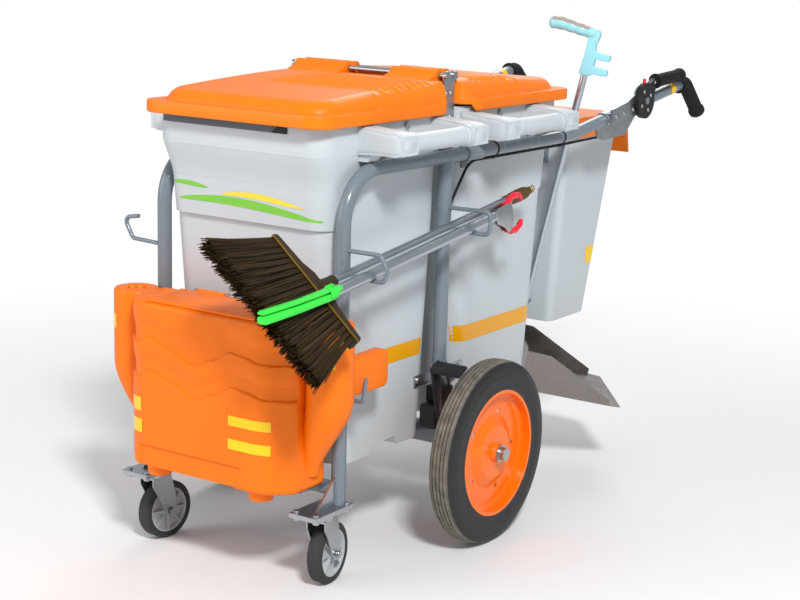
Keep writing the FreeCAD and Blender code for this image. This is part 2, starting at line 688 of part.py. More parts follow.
pocket(front_bin, arch, s.bin_half * 2 + 10, both=True)
lug_profile = [(s.bin_half - 2, s.collar_bottom), (s.lug_x - 14, s.lug_z - 21), (s.lug_x + s.lug_radius, s.lug_z - 19),
               (s.lug_x + s.lug_radius, s.lug_z + 19), (s.lug_x - 14, s.lug_z + 23), (s.bin_half - 2, s.rim_top - 12)]
lug_starts = (s.lug_near, s.lug_far - s.lug_thick)
for side in (-1, 1):
    for away in lug_starts:
        outline = polygon(sketch(front_bin, "XZ_Plane", away - s.pair_y), [(side * x, z) for x, z in lug_profile])
        pad(front_bin, outline, s.lug_thick)
    rest = polygon(sketch(front_bin, "XZ_Plane", s.lug_far - 44 - s.pair_y),
                   [(side * x, z) for x, z in ((s.bin_half - 2, s.rail_z + s.tube_radius + 0.01),
                                               (s.rail_x + 4, s.rail_z + s.tube_radius + 0.01),
                                               (s.rail_x + 16, s.lug_z - 20), (s.bin_half - 2, s.collar_bottom + 8))])
    pad(front_bin, rest, 38)
    for away, thick in ((s.lug_near, s.lug_thick + 8), (s.lug_far - s.lug_thick - 8, s.lug_thick + 8)):
        ring = circle(sketch(front_bin, "XZ_Plane", away - s.pair_y), side * s.lug_x, s.lug_z, s.lug_radius)
        pad(front_bin, ring, thick)
    bar = circle(sketch(front_bin, "XZ_Plane", s.lug_near - s.pair_y), side * s.lug_x, s.lug_z, s.handle_radius)
    pad(front_bin, bar, s.lug_far - s.lug_near)
# The walls inside the bin cut the lugs back to its outer skin
loft(front_bin, [level(front_bin, s.collar_bottom - 40, s.bin_half, s.waist_near, s.waist_far + s.step_out, s.bin_wall,
                       s.corner - s.bin_wall),
                 level(front_bin, s.rim_top + 5, s.bin_half, s.waist_near, s.waist_far + s.step_out, s.bin_wall,
                       s.corner - s.bin_wall)], True)
part(front_bin, "front_bin")
part(mirror(front_bin, (0, 1, 0), middle), "rear_bin", False)

# Bolts that hold the bins to the frame: domed nuts on the collars, and low brackets to the middle posts
dome_y, dome_z = s.pair_y - 182, s.lug_z + 20
bolt_pieces = []
for side in (-1, 1):
    for y in (dome_y, 2 * s.pair_y - dome_y):
        head = cylinder(7, 6, (side * s.collar_half - (6 if side < 0 else 0), y, dome_z), "X")
        bolt_pieces.append(head)
bracket_z, bracket_y = 350, 84
for side in (-1, 1):
    low_x = s.bin_half if side > 0 else -s.bin_half - 5
    bar = box((low_x, s.middle_y - 62, bracket_z - 12), (low_x + 5, bracket_y + 10, bracket_z + 12))
    web_x = s.bin_half + 5 if side > 0 else -(s.rail_x - s.tube_radius + 4)
    web = box((web_x, s.middle_y - 9, bracket_z - 12), (web_x + (s.rail_x - s.tube_radius + 4 - s.bin_half - 5),
                                                      s.middle_y + 9, bracket_z + 12))
    post_hole = cylinder(s.tube_radius, 60, (side * s.rail_x, s.middle_y, bracket_z - 30))
    heads = [cylinder(8, 4, (low_x + (5 if side > 0 else -4), y, bracket_z), "X")
             for y in (s.middle_y - 50, bracket_y - 6)]
    bolt_pieces.append(cut(fuse(bar, web, *heads), post_hole))
part(group(*bolt_pieces), "bin_bolts")

# Lids: a flanged tray turned over, its dome rising to the hinge
front_lid = body("Lid")
lid_corner = 30
for low, high, inset, remove in ((s.lid_bottom, s.lid_flange, 0, False),
                                 (s.lid_bottom - 5, s.lid_flange - s.lid_wall, s.lid_wall, True)):
    loft(front_lid, [level(front_lid, low, s.lid_half, s.lid_near, s.lid_far, inset, lid_corner - inset),
                     level(front_lid, high, s.lid_half, s.lid_near, s.lid_far, inset, lid_corner - inset)], remove)
dome_low = s.lid_far - 40


def dome_section(away, half, top, bottom):
    return polygon(sketch(front_lid, "XZ_Plane", away - s.pair_y),
                   [(-half, bottom), (half, bottom), (half - 14, top), (14 - half, top)])


flange_in = s.lid_flange - 1
loft(front_lid, [dome_section(s.lid_near, s.lid_half - 16, s.lid_top, flange_in),
                 dome_section(dome_low - 18, s.lid_half - 24, s.lid_top - 18, flange_in),
                 dome_section(dome_low, s.lid_half - 34, s.lid_flange + 4, flange_in)])
inner_low = s.lid_flange - s.lid_wall - 1
loft(front_lid, [dome_section(s.lid_near + s.lid_wall, s.lid_half - 16 - s.lid_wall, s.lid_top - s.lid_wall, inner_low),
                 dome_section(dome_low - 18 - s.lid_wall, s.lid_half - 24 - s.lid_wall, s.lid_top - 18 - s.lid_wall,
                              inner_low),
                 dome_section(dome_low - s.lid_wall, s.lid_half - 34 - s.lid_wall, s.lid_flange - 1, inner_low)], True)
clear_z = s.rim_top + 5
hinge_side = polygon(sketch(front_lid, "YZ_Plane"), [
    (front_y(s.lid_near + 30), s.lid_bottom - 5), (front_y(s.lid_near - 5), s.lid_bottom - 5),
    (front_y(s.lid_near - 5), clear_z), (front_y(s.lid_near + 30), clear_z)])
pocket(front_lid, hinge_side, s.lid_half * 2 - 2 * s.lid_wall, both=True)
knuckles = ((-190, -54), (64, 180))
for low, high in knuckles:
    ear = polygon(sketch(front_lid, "YZ_Plane", low), [
        (front_y(s.hinge_y), s.hinge_z + s.knuckle_radius - 1), (front_y(s.hinge_y + 10), s.hinge_z + 8),
        (front_y(s.lid_near + 30), s.lid_top - 2), (front_y(s.lid_near), s.lid_top - 2), (front_y(s.hinge_y), s.hinge_z)])
    pad(front_lid, ear, high - low)
    pad(front_lid, circle(sketch(front_lid, "YZ_Plane", low), front_y(s.hinge_y), s.hinge_z, s.knuckle_radius), high - low)
pocket(front_lid, circle(sketch(front_lid, "YZ_Plane"), front_y(s.hinge_y), s.hinge_z, s.hinge_radius + s.pin_fit),
       s.lid_half * 2, both=True)
part(front_lid, "front_lid")
part(mirror(front_lid, (0, 1, 0), middle), "rear_lid", False)

# Hinge rods with their nuts, on two brackets that stand on the centre cross tube between the bins
rod_half, bracket_x, bracket_thick = s.bin_half, s.bin_half - 10, 4
rods = [cylinder(s.hinge_radius, rod_half * 2, (-rod_half, s.pair_y + side * s.hinge_y, s.hinge_z), "X")
        for side in (-1, 1)]
nuts = [cylinder(9, 6, (x, s.pair_y + side * s.hinge_y, s.hinge_z), "X")
        for side in (-1, 1) for x in (-bracket_x - bracket_thick - 6, bracket_x + bracket_thick)]
part(group(*[fuse(rods[i], *nuts[2 * i:2 * i + 2]) for i in (0, 1)]), "hinge_rods")
bracket_half = 21
hinge_plates = []
for side in (-1, 1):
    outline = [(s.pair_y - bracket_half, s.rail_z - 4), (s.pair_y + bracket_half, s.rail_z - 4),
               (s.pair_y + bracket_half, s.hinge_z + 2), (s.pair_y + bracket_half - 5, s.hinge_z + 9),
               (s.pair_y - bracket_half + 5, s.hinge_z + 9), (s.pair_y - bracket_half, s.hinge_z + 2)]
    web = prism("HingePlate", "YZ_Plane", side * (bracket_x + bracket_thick / 2), outline, bracket_thick)
    holes = [cylinder(s.hinge_radius, 20, (side * bracket_x - 10, s.pair_y + a * s.hinge_y, s.hinge_z), "X")
             for a in (-1, 1)]
    tube_hole = cylinder(cross_radius, 40, (side * bracket_x - 20, s.pair_y, s.rail_z), "X")
    hinge_plates.append(cut(web, tube_hole, *holes))
part(group(*hinge_plates), "hinge_brackets")

# Tool box: a bow-fronted chest with a broom holder column at each front corner
tool_box = body("Chest")


def chest(inset, low, high, remove=False):
    """The chest's plan, or its hollow at an inset."""
    half, flank = s.box_half - inset, s.box_flank - inset
    front, back = s.box_front + inset, s.box_back - inset
    right = [(half - 26, front), (half + 2, front + 8), (flank - 15, front + 32), (flank, front + 46), (flank, back)]
    outline = polygon(sketch(tool_box, "XY_Plane", low), [(-x, y) for x, y in right] + right[::-1])
    return (pocket(tool_box, outline, high - low, back=True) if remove else pad(tool_box, outline, high - low))


chest(0, s.box_bottom, s.box_top)
for side in (-1, 1):
    pad(tool_box, circle(sketch(tool_box, "XY_Plane", s.box_bottom - 20), side * 132, s.box_front + 39, 25), 24)
chest(s.box_wall, s.box_bottom + s.box_wall, s.box_top - s.box_wall, True)
lid_half_front, lid_half_back = 128, 150
mouth_front, mouth_back = s.box_front + 16, s.box_back - 22
mouth = polygon(sketch(tool_box, "XY_Plane", s.box_top - 10), [
    (-lid_half_front, mouth_front), (lid_half_front, mouth_front), (lid_half_back - 8, mouth_back), (8 - lid_half_back, mouth_back)])
pocket(tool_box, mouth, 20, back=True)
part(tool_box, "tool_box")

# A bored broom holder column on each flank, with an ear that reaches back past the post
column_z, taper_z, ear_long = 392, 330, 166
columns = []
for side in (-1, 1):
    column = body("Column")
    pad(column, circle(sketch(column, "XY_Plane", column_z), side * s.holder_x, s.holder_y, s.holder_radius),
        s.box_top - column_z)
    loft(column, [circle(sketch(column, "XY_Plane", column_z), side * s.holder_x, s.holder_y, s.holder_radius),
                  circle(sketch(column, "XY_Plane", taper_z), side * (s.holder_x - 18), s.holder_y, 26)])
    ear_in, ear_out = side * (s.rail_x + s.tube_radius + 3), side * (s.rail_x + s.tube_radius + 31)
    ear = [(ear_in, s.holder_y), (ear_out, s.holder_y), (ear_out, s.holder_y + ear_long), (ear_in, s.holder_y + ear_long)]
    pad(column, polygon(sketch(column, "XY_Plane", column_z), ear), 83)
    slot = circle(sketch(column, "XY_Plane", taper_z - 10), side * s.holder_x, s.holder_y, s.holder_bore)
    pocket(column, slot, s.box_top - taper_z + 20, back=True)
    columns.append(cut(column, box((-s.box_flank, s.box_front, s.box_bottom), (s.box_flank, s.box_back + 20, s.box_top + 10))))
part(group(*columns), "tool_box_columns")
hinge_box_y, hinge_box_z = mouth_back + 9, s.box_top + 6
box_lid = body("ChestLid")
pad(box_lid, polygon(sketch(box_lid, "XY_Plane", s.box_top + s.fit), [
    (-lid_half_front - 8, mouth_front - 7), (lid_half_front + 8, mouth_front - 7), (lid_half_back, mouth_back + 3),
    (-lid_half_back, mouth_back + 3)]), 6)
pad(box_lid, polygon(sketch(box_lid, "XY_Plane", s.box_top + s.fit - 14), [
    (-lid_half_front + 4, mouth_front + 4), (lid_half_front - 4, mouth_front + 4), (lid_half_back - 14, mouth_back - 12),
    (14 - lid_half_back, mouth_back - 12)]), 14)
pocket(box_lid, polygon(sketch(box_lid, "XY_Plane", s.box_top + s.fit - 20), [
    (-lid_half_front + 7, mouth_front + 7), (lid_half_front - 7, mouth_front + 7), (lid_half_back - 18, mouth_back - 15),
    (18 - lid_half_back, mouth_back - 15)]), 21, back=True)
for low, high in ((-110, -40), (40, 110)):
    link = polygon(sketch(box_lid, "YZ_Plane", low), [(mouth_back, s.box_top + 2), (hinge_box_y, s.box_top + 2),
                                                      (hinge_box_y, s.box_top + 10), (mouth_back, s.box_top + 6)])
    pad(box_lid, link, high - low)
    pad(box_lid, circle(sketch(box_lid, "YZ_Plane", low), hinge_box_y, hinge_box_z, 5), high - low)
pocket(box_lid, circle(sketch(box_lid, "YZ_Plane"), hinge_box_y, hinge_box_z, 2 + s.pin_fit), 300, both=True)
part(box_lid, "tool_box_lid")
stand = [box((x, hinge_box_y - 4, s.box_top), (x + 6, hinge_box_y + 4, s.box_top + 10)) for x in (-120, -36, 30, 114)]
box_pin = cylinder(2, 246, (-123, hinge_box_y, hinge_box_z), "X")
part(fuse(*stand, box_pin), "tool_box_hinge")

# Narrow rear bin with its sloping lid, hinged at the front
small_bin = body("NarrowBin")
small_wall, small_corner = 3.5, 20
slope_rise = s.small_top - s.small_bottom


def small_level(z, front, back, inset):
    return rounded(sketch(small_bin, "XY_Plane", z), (inset - s.small_half, front + inset),
                   (s.small_half - inset, back - inset), small_corner - inset)


loft(small_bin, [small_level(s.small_bottom, s.small_front, s.small_back, 0),
                 small_level(s.small_top, s.small_front_top, s.small_back_top, 0)])
loft(small_bin, [small_level(s.small_bottom + small_wall, s.small_front, s.small_back, small_wall),
                 small_level(s.small_top, s.small_front_top, s.small_back_top, small_wall)], True)
pin_y, pin_z = s.small_front_top - 22, s.small_top + 20
for low in (-74, 68):
    ear = polygon(sketch(small_bin, "YZ_Plane", low), [
        (s.small_front_top - 3, s.small_top - 42), (s.small_front_top + 1, s.small_top - 1),
        (s.small_front_top - 13, s.small_top + 1), (pin_y + 7, pin_z + 6), (pin_y - 9, pin_z + 6),
        (pin_y - 9, pin_z - 12), (s.small_front_top - 12, s.small_top - 42)])
    pad(small_bin, ear, 6)
pad(small_bin, circle(sketch(small_bin, "YZ_Plane", -74), pin_y, pin_z, 4), 148)
part(small_bin, "small_bin")

small_lid = body("NarrowLid")
skirt = 12
lid_front, lid_back, lid_high = s.small_front_top - 12, s.small_back_top, s.small_top + 38
lid_outer = s.small_half + 4.5
pad(small_lid, polygon(sketch(small_lid, "YZ_Plane"), [
    (lid_front, s.small_top - skirt), (lid_front, lid_high - 8), (lid_front + 10, lid_high), (lid_back, lid_high),
    (lid_back + 42, lid_high - 14), (lid_back + 59, s.small_top - 70), (lid_back + 54, s.small_top - 70),
    (lid_back + 32, s.small_top - skirt)]), lid_outer * 2, True)
pocket(small_lid, polygon(sketch(small_lid, "YZ_Plane"), [
    (lid_front + 4, s.small_top - skirt - 2), (lid_front + 4, lid_high - 10), (lid_front + 12, lid_high - 4),
    (lid_back, lid_high - 4), (lid_back + 36, lid_high - 17), (lid_back + 26, s.small_top - skirt - 2)]),
    (s.small_half + 1) * 2, both=True)
pocket(small_lid, polygon(sketch(small_lid, "YZ_Plane"), [
    (lid_front - 2, s.small_top - skirt - 2), (lid_front + 24, s.small_top - skirt - 2),
    (lid_front + 24, s.small_top + 3), (lid_front - 2, s.small_top + 3)]), lid_outer * 2 + 4, both=True)
link = polygon(sketch(small_lid, "YZ_Plane"), [(pin_y, pin_z - 7), (lid_front + 2, pin_z - 7), (lid_front + 2, pin_z + 7),
                                              (pin_y, pin_z + 7)])
pad(small_lid, link, 132, True)
pad(small_lid, circle(sketch(small_lid, "YZ_Plane"), pin_y, pin_z, 7), 132, True)
pocket(small_lid, circle(sketch(small_lid, "YZ_Plane"), pin_y, pin_z, 4 + s.pin_fit), 140, both=True)
part(small_lid, "small_bin_lid")


def small_wall_y(z):
    """Y of the narrow bin's front wall at a height."""
    return s.small_front + (s.small_front_top - s.small_front) * ((z - s.small_bottom) / slope_rise)


hangers = []
plate_low, plate_high = 740, s.small_top - 22
for side in (-1, 1):
    web = prism("Hanger", "YZ_Plane", side * 100, [
        (rear_tube_y - 4, s.rail_z + 16), (rear_tube_y + 20, s.rail_z + 16), (small_wall_y(plate_high), plate_high),
        (small_wall_y(plate_low), plate_low), (rear_tube_y + 70, plate_low + 5), (rear_tube_y - 4, s.rail_z - 16)], 5)
    hangers.append(cut(web, cylinder(cross_radius, 40, (side * 100 - 20, rear_tube_y, s.rail_z + 1.5), "X")))
stay_z = 400
bin_back_y = s.pair_y + s.foot_far + (s.waist_far - s.foot_far) * ((stay_z - s.bin_bottom) / (s.step_z - s.bin_bottom))
hangers.append(box((68, bin_back_y + 0.2, stay_z - 2), (93, small_wall_y(stay_z - 2), stay_z + 2)))
part(group(*hangers), "small_bin_brackets")

# Rod hooks on the front and middle posts, with a strap round each rail
slope = math.radians(float(s.tool_tilt))
rest_drop = (s.picker_tube / math.cos(slope)) + s.hook_rod + s.fit
front_rest = s.tool_z - rest_drop
middle_rest = s.tool_z + (s.middle_y - s.post_y) * math.tan(slope) - rest_drop
HOOKS = (
    (1, s.post_y, [(0, 680), (89, 680), (107, 650), (97, front_rest), (26, front_rest)],
     [12, 12, 8]),
    (-1, s.post_y, [(0, 633), (89, 636), (114, 678), (72, 685)], [12, 12]),
    (1, s.post_y, [(0, 381), (56, 383), (62, 432)], [8]),
    (1, s.middle_y, [(0, 722), (114, 724), (114, middle_rest), (26, middle_rest)], [14, 14]),
    (-1, s.middle_y, [(0, 722), (114, 724), (114, middle_rest), (26, middle_rest)], [14, 14]),
)
hooks = {1: [], -1: []}
for side, y, run, radii in HOOKS:
    path = bent([(side * float(s.rail_x + x), y, z) for x, z in run], radii)
    post = cylinder(s.tube_radius, 120, (side * s.rail_x, y, run[0][1] - 60))
    hooks[side].append(cut(feature(rod(path, s.hook_rod)), post))
part(group(*hooks[1]), "tool_hooks_left")
part(group(*hooks[-1]), "tool_hooks_right")

# Brake cable along the rail and down the middle post, tied to the rail twice
CABLE = [(s.rail_x + 9, 715, s.rail_z - 11), (s.rail_x, 470, s.rail_z - 18.3), (s.rail_x, 60, s.rail_z - 18.3),
         (s.rail_x, -14.8, s.rail_z - 109), (s.rail_x, -14.8, 400), (s.rail_x + 17, -16.8, 334)]
cable = rod(bent(CABLE, [60, 60, 60, 40]), s.cable_radius)
part(feature(cable), "brake_cable")


def collar(radius, wall, width, y):
    """The outside and the hole of a band round the left rail."""
    outer = cylinder(radius + wall, width, (s.rail_x, y, s.rail_z), "Y")
    return outer, cylinder(radius, width, (s.rail_x, y, s.rail_z), "Y")


cable_run = cylinder(s.cable_radius, 600, (s.rail_x, -60, s.rail_z - 18.3), "Y")
ties = []
for y in (155, 455):
    outer, inner = collar(s.tube_radius, 1.4, 5, y)
    loop = cylinder(s.cable_radius + 1.3, 5, (s.rail_x, y, s.rail_z - 18.3), "Y")
    ties.append(cut(fuse(outer, loop), inner, cable_run))
part(group(*ties), "cable_ties")
strap_outer, strap_inner = collar(s.tube_radius, 2.5, 64, 36)
tab = box((s.rail_x - 16, 50, s.rail_z - 34), (s.rail_x - 12, 74, s.rail_z - 8))
strap = cut(fuse(strap_outer, tab), strap_inner, cable_run)
part(group(strap, mirror(strap, (1, 0, 0))), "rail_straps")

# Hand brake: a clamped bracket on the left handle tube with a toothed lever, its grip and its release button
bracket_in, bracket_wide = s.rail_x + 29, 6
lever_in, lever_wide = bracket_in + bracket_wide + s.fit, 12
pivot = cylinder(5, 22, (bracket_in, s.lever_y, s.lever_z), "X")
pivot_cap = cylinder(9, 3, (lever_in + lever_wide + s.fit, s.lever_y, s.lever_z), "X")
quadrant = cylinder(40, bracket_wide, (bracket_in, s.lever_y, s.lever_z), "X")
arm = prism("BracketArm", "YZ_Plane", bracket_in + bracket_wide / 2, [
    (650, 846), (736, 858), (800, 860), (800, 925), (730, 896), (650, 882)], bracket_wide)


def handle_at(y):
    """A point of the rising handle tube."""
    part_way = (y - float(s.rail_end_y)) / float(s.elbow_y - s.rail_end_y)
    return [float(a) + (float(b) - float(a)) * part_way for a, b in zip(HANDLE[2], HANDLE[3])]


foot = feature(plain(s.tube_radius + 3, handle_at(652), handle_at(726)))
foot_block = box((s.rail_x + 11, 652, 850), (bracket_in, 724, 872))
adjuster_ends = [[float(v) for v in end] for end in ((s.rail_x + 9, 712, s.rail_z - 11), (s.rail_x + 11, 752, s.rail_z - 7))]
adjuster = feature(plain(5.5, *adjuster_ends))
gusset_plate = prism("BrakeGusset", "YZ_Plane", s.rail_x + 15.5, [(600, 846), (850, 888), (800, 848), (756, 812), (640, 808),
                                                       (612, 818)], 3)
part(cut(fuse(quadrant, arm, foot, foot_block, gusset_plate, pivot, pivot_cap), feature(side_bar), adjuster),
     "brake_bracket")
part(cut(feature(plain(5.5, *adjuster_ends)), feature(cable)), "cable_adjuster")

lever = body("Lever")
lever_disc = 44
pad(lever, circle(sketch(lever, "YZ_Plane", lever_in), s.lever_y, s.lever_z, lever_disc), lever_wide)
pad(lever, polygon(sketch(lever, "YZ_Plane", lever_in), [
    (s.lever_y + 10, s.lever_z + 38), (s.lever_y + 38, s.lever_z + 12), (s.lever_y + 54, s.lever_z + 36),
    (s.lever_y + 54, s.lever_z + 56)]), lever_wide)
grip_x = lever_in + lever_wide / 2
grip_tilt = math.degrees(math.atan2(8, 147))
grip_turn = Rotation(Vector(1, 0, 0), -90 + grip_tilt)
grip_at = (grip_x, s.lever_y + 55, s.lever_z + 45)
stem = cylinder(6, 146, (grip_x, s.lever_y + 49, s.lever_z + 45 - 6 * 8 / 147), grip_turn)
pocket(lever, circle(sketch(lever, "YZ_Plane", lever_in - 2), s.lever_y, s.lever_z, 5 + s.pin_fit), 20, back=True)
button_y = s.lever_y - 6
well_low = s.lever_z + 22
pocket(lever, circle(sketch(lever, "XY_Plane", well_low), grip_x, button_y, 4 + s.fit), 30, back=True)
part(fuse(lever, stem), "brake_lever")
part(cut(cylinder(13, 147, grip_at, grip_turn), stem), "lever_grip")
part(group(cylinder(4, 26, (grip_x, button_y, well_low + 6))), "lever_button")

# Brake shoe arm on the left middle post, above the tyre
clamp_x = s.rail_x + 23
clamp_block = box((s.rail_x - 18, s.middle_y - 20, 300), (clamp_x, s.middle_y + 21, 334))
lower_block = box((s.rail_x - 13, -84, 250), (clamp_x, s.middle_y + 13, 300))
shoe_pivot = (-70, 275)
shoe_pin = cylinder(5, 16, (clamp_x, *shoe_pivot), "X")
shoe_cap = cylinder(8, 3, (clamp_x + 13, *shoe_pivot), "X")
clamp_hole = cylinder(s.tube_radius, 100, (s.rail_x, s.middle_y, 245))
part(cut(fuse(clamp_block, lower_block, shoe_pin, shoe_cap), clamp_hole, feature(cable)), "brake_clamp")
brake_arm = body("ShoeArm")
arm_in, arm_wide = clamp_x + s.fit, 6
SHOE = [(-103, 378), (-70.5, 393.2), (-75.5, 404), (-108, 388.8)]
pad(brake_arm, polygon(sketch(brake_arm, "YZ_Plane", arm_in), [(-79, 274), (-61, 274), *SHOE[1:], SHOE[0]]), arm_wide)
pad(brake_arm, circle(sketch(brake_arm, "YZ_Plane", arm_in), *shoe_pivot, 9), arm_wide)
pad(brake_arm, polygon(sketch(brake_arm, "YZ_Plane", arm_in), SHOE), s.wheel_x + 18 - arm_in)
pocket(brake_arm, circle(sketch(brake_arm, "YZ_Plane", arm_in - 2), *shoe_pivot, 5 + s.pin_fit), 12, back=True)
part(brake_arm, "brake_arm")

# Stored tools: both lie in the left hooks, drawn along their own axis and then tilted
TILT = Rotation(Vector(1, 0, 0), float(s.tool_tilt))
ROLL = Rotation(Vector(0, 1, 0), 44.7)


def stow(obj, name, x, turn=TILT):
    """Hangs a piece of a tool in the hooks; the thinner broom handle lies a little lower."""
    down = s.picker_tube - s.broom_tube if x is s.broom_x else 0
    return part(place(obj, (x, s.post_y + s.origin_shift, s.tool_z - down), turn), name, False)


head_half = s.head_length / 2
head = body("BroomHead")
pad(head, polygon(sketch(head, "XY_Plane"), [(-head_half, -168), (head_half, -168), (head_half, -148), (46, -130),
                                             (-46, -130), (-head_half, -148)]), 30, True)
ferrule = cut(cylinder(15, 42, (0, -140, 0), "Y"), cylinder(s.broom_tube, 30, (0, -128, 0), "Y"))
stow(cut(fuse(head, ferrule), cylinder(s.broom_tube, 60, (0, -138, 0), "Y")), "broom_head", s.broom_x, TILT * ROLL)
bristles = body("Bristles")
tip = -168 - s.bristle_length
pad(bristles, polygon(sketch(bristles, "XY_Plane"), [(-head_half + 6, -168), (head_half - 6, -168), (185, tip),
                                                     (-185, tip)]), 28, True)
stow(bristles, "broom_bristles", s.broom_x, TILT * ROLL)
stow(group(cylinder(s.broom_tube, 708, (0, -138, 0), "Y")), "broom_handle", s.broom_x)
hang_ring = cut(cylinder(9, 3, (-1.5, 678, 0), "X"), cylinder(6, 3, (-1.5, 678, 0), "X"))
stow(group(fuse(cylinder(s.broom_tube + 0.2, 100, (0, 570, 0), "Y"), hang_ring)), "broom_grip", s.broom_x)

cheeks_front = [box((x, -146, -8), (x + 2.7, -120, 15)) for x in (-8, 5.3)]
cheek_pin = cylinder(2, 16, (-8, -135, 8), "X")
fixed_jaw = prism("FixedJaw", "YZ_Plane", 0, [(-118, -8), (-118, 1), (-250, 9), (-388, 24), (-388, 19), (-250, -3)], 16)
stow(group(cut(fuse(fixed_jaw, *cheeks_front, cheek_pin), cylinder(s.picker_tube, 60, (0, -129, 0), "Y"))),
     "picker_fixed_jaw", s.picker_x)
stow(group(cylinder(s.picker_tube, 569, (0, -129, 0), "Y")), "picker_tube", s.picker_x)
plates = [box((x, 440, -17), (x + 2.5, 508, 19)) for x in (-9, 6.5)]
spine = box((-6.5, 440, -16), (6.5, 470, 12))
arm_pin = cylinder(2.5, 18, (-9, 488, 8), "X")
stow(group(fuse(spine, *plates, arm_pin)), "picker_plates", s.picker_x)
fixed_arm = prism("FixedArm", "YZ_Plane", 0, [(470, -16), (578, -36), (580, -26), (506, -8), (470, -6)], 13)
stow(group(fixed_arm), "picker_handle", s.picker_x)
trigger = body("Trigger")
pad(trigger, polygon(sketch(trigger, "YZ_Plane"), [(478, 3), (494, 3), (580, 20), (580, 32), (486, 15)]), 12, True)
pocket(trigger, circle(sketch(trigger, "YZ_Plane"), 488, 8, 2.5 + s.pin_fit), 20, both=True)
stow(trigger, "picker_trigger", s.picker_x)
jaw = body("Jaw")
pad(jaw, polygon(sketch(jaw, "YZ_Plane"), [(-131, 5), (-131, 11), (-250, 21), (-388, 30), (-388, 25), (-250, 12)]),
    10, True)
pocket(jaw, circle(sketch(jaw, "YZ_Plane"), -135, 8, 2 + s.pin_fit), 20, both=True)
stow(jaw, "picker_jaw", s.picker_x)

# Long-handled dustpan, drawn upright about its tube with the mouth towards +Y, then turned as it hangs
PAN_FOOT = (97, 525, 331)
ACROSS, DEEP, UP = Vector(.6421, -.7640, -.0635), Vector(.7423, .6404, -.1971), Vector(.1912, .0794, .9783)
PAN_TURN = Rotation(ACROSS, DEEP, UP, "ZXY")


def hang(obj, name, turn=PAN_TURN):
    at = (PAN_FOOT[0], PAN_FOOT[1] + s.origin_shift, PAN_FOOT[2])
    return part(place(obj, at, turn), name, False)


pan = body("Pan")
pan_half, pan_low, back_y = s.pan_width / 2, -s.pan_height, s.pan_tube
lip_gap = 32
pad(pan, polygon(sketch(pan, "XY_Plane", pan_low), [
    (-pan_half, back_y), (pan_half, back_y), (pan_half, back_y + s.pan_depth - lip_gap), (pan_half - 6, back_y + s.pan_depth),
    (6 - pan_half, back_y + s.pan_depth), (-pan_half, back_y + s.pan_depth - lip_gap)]), s.pan_wall)
pad(pan, polygon(sketch(pan, "XZ_Plane", -back_y), [(-pan_half, pan_low), (pan_half, pan_low), (pan_half, -8), (pan_half - 12, 0),
                                                    (12 - pan_half, 0), (-pan_half, -8)]), s.pan_wall, back=True)
for low in (-pan_half, pan_half - s.pan_wall):
    pad(pan, polygon(sketch(pan, "YZ_Plane", low), [
        (back_y, pan_low), (back_y + s.pan_depth - lip_gap, pan_low), (back_y + s.pan_depth - lip_gap, pan_low + 14),
        (back_y + 60, -10), (back_y, -8)]), s.pan_wall)
hang(pan, "dustpan_pan")
tube_top = 661
hang(group(cylinder(s.pan_tube, tube_top + 70, (0, 0, -70))), "dustpan_handle")
comb = body("Comb")
teeth = [(22, 652)]
for i in range(4):
    z = 660 + i * 22
    teeth += [(58, z), (58, z + 10), (24, z + 10), (24, z + 22)] if i < 3 else [(58, z), (58, z + 10)]
pad(comb, polygon(sketch(comb, "YZ_Plane"), [(-20, 650)] + teeth + [
    (24, 752), (-14, 756), (-60, 752), (-112, 738), (-114, 722), (-66, 730), (-24, 724)]), 18, True)
pocket(comb, circle(sketch(comb, "XY_Plane", 640), 0, 0, s.pan_tube), 21 + 20, back=True)
# The comb is turned on its tube, clear of the rear lid
hang(comb, "dustpan_comb", PAN_TURN * Rotation(Vector(0, 0, 1), -23))

# Spring clip that holds the dustpan's tube to the rear cross tube
clip_low, clip_high = 492, 520
base = Vector(*[float(v) for v in PAN_FOOT])
grip_ring = feature(plain(s.pan_tube + 4.5, base + UP * clip_low, base + UP * clip_high))
clip_gap = feature(plain(s.pan_tube + s.fit, base + UP * (clip_low - 10), base + UP * (clip_high + 10)))
mouth_low = base + UP * (clip_low - 5) + DEEP * 3
clip_arm = box((186, rear_tube_y + 6, s.rail_z - 8), (200, rear_tube_y + 30, s.rail_z + 10))
jaw_gap = feature(Part.makeBox(13, 20, 40, mouth_low - ACROSS * 6.5, UP))
clip_tube = cylinder(cross_radius, 60, (170, rear_tube_y, s.rail_z + 1.5), "X")
part(cut(fuse(grip_ring, clip_arm), clip_gap, clip_tube), "dustpan_clip")

doc.recompute()

# Everything must have built before anything is written
for obj in doc.Objects:
    if "Invalid" in obj.State or "Error" in obj.State:
        raise RuntimeError("%s (%s) did not build: %s" % (obj.Label, obj.Name, obj.State))
for obj in PARTS:
    if obj.Shape.isNull() or not obj.Shape.isValid() or not obj.Shape.Solids:
        raise RuntimeError("%s has no valid solid" % obj.Label)
os.makedirs("parts", exist_ok=True)
for obj in PARTS:
    obj.Shape.exportStep("parts/%s.step" % obj.Label)
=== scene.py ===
"""Looks of a street sweeper's handcart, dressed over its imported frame. Lengths are metres, +Z up, -Y the front."""
import math

import bmesh
import bpy
from mathutils import Matrix, Vector


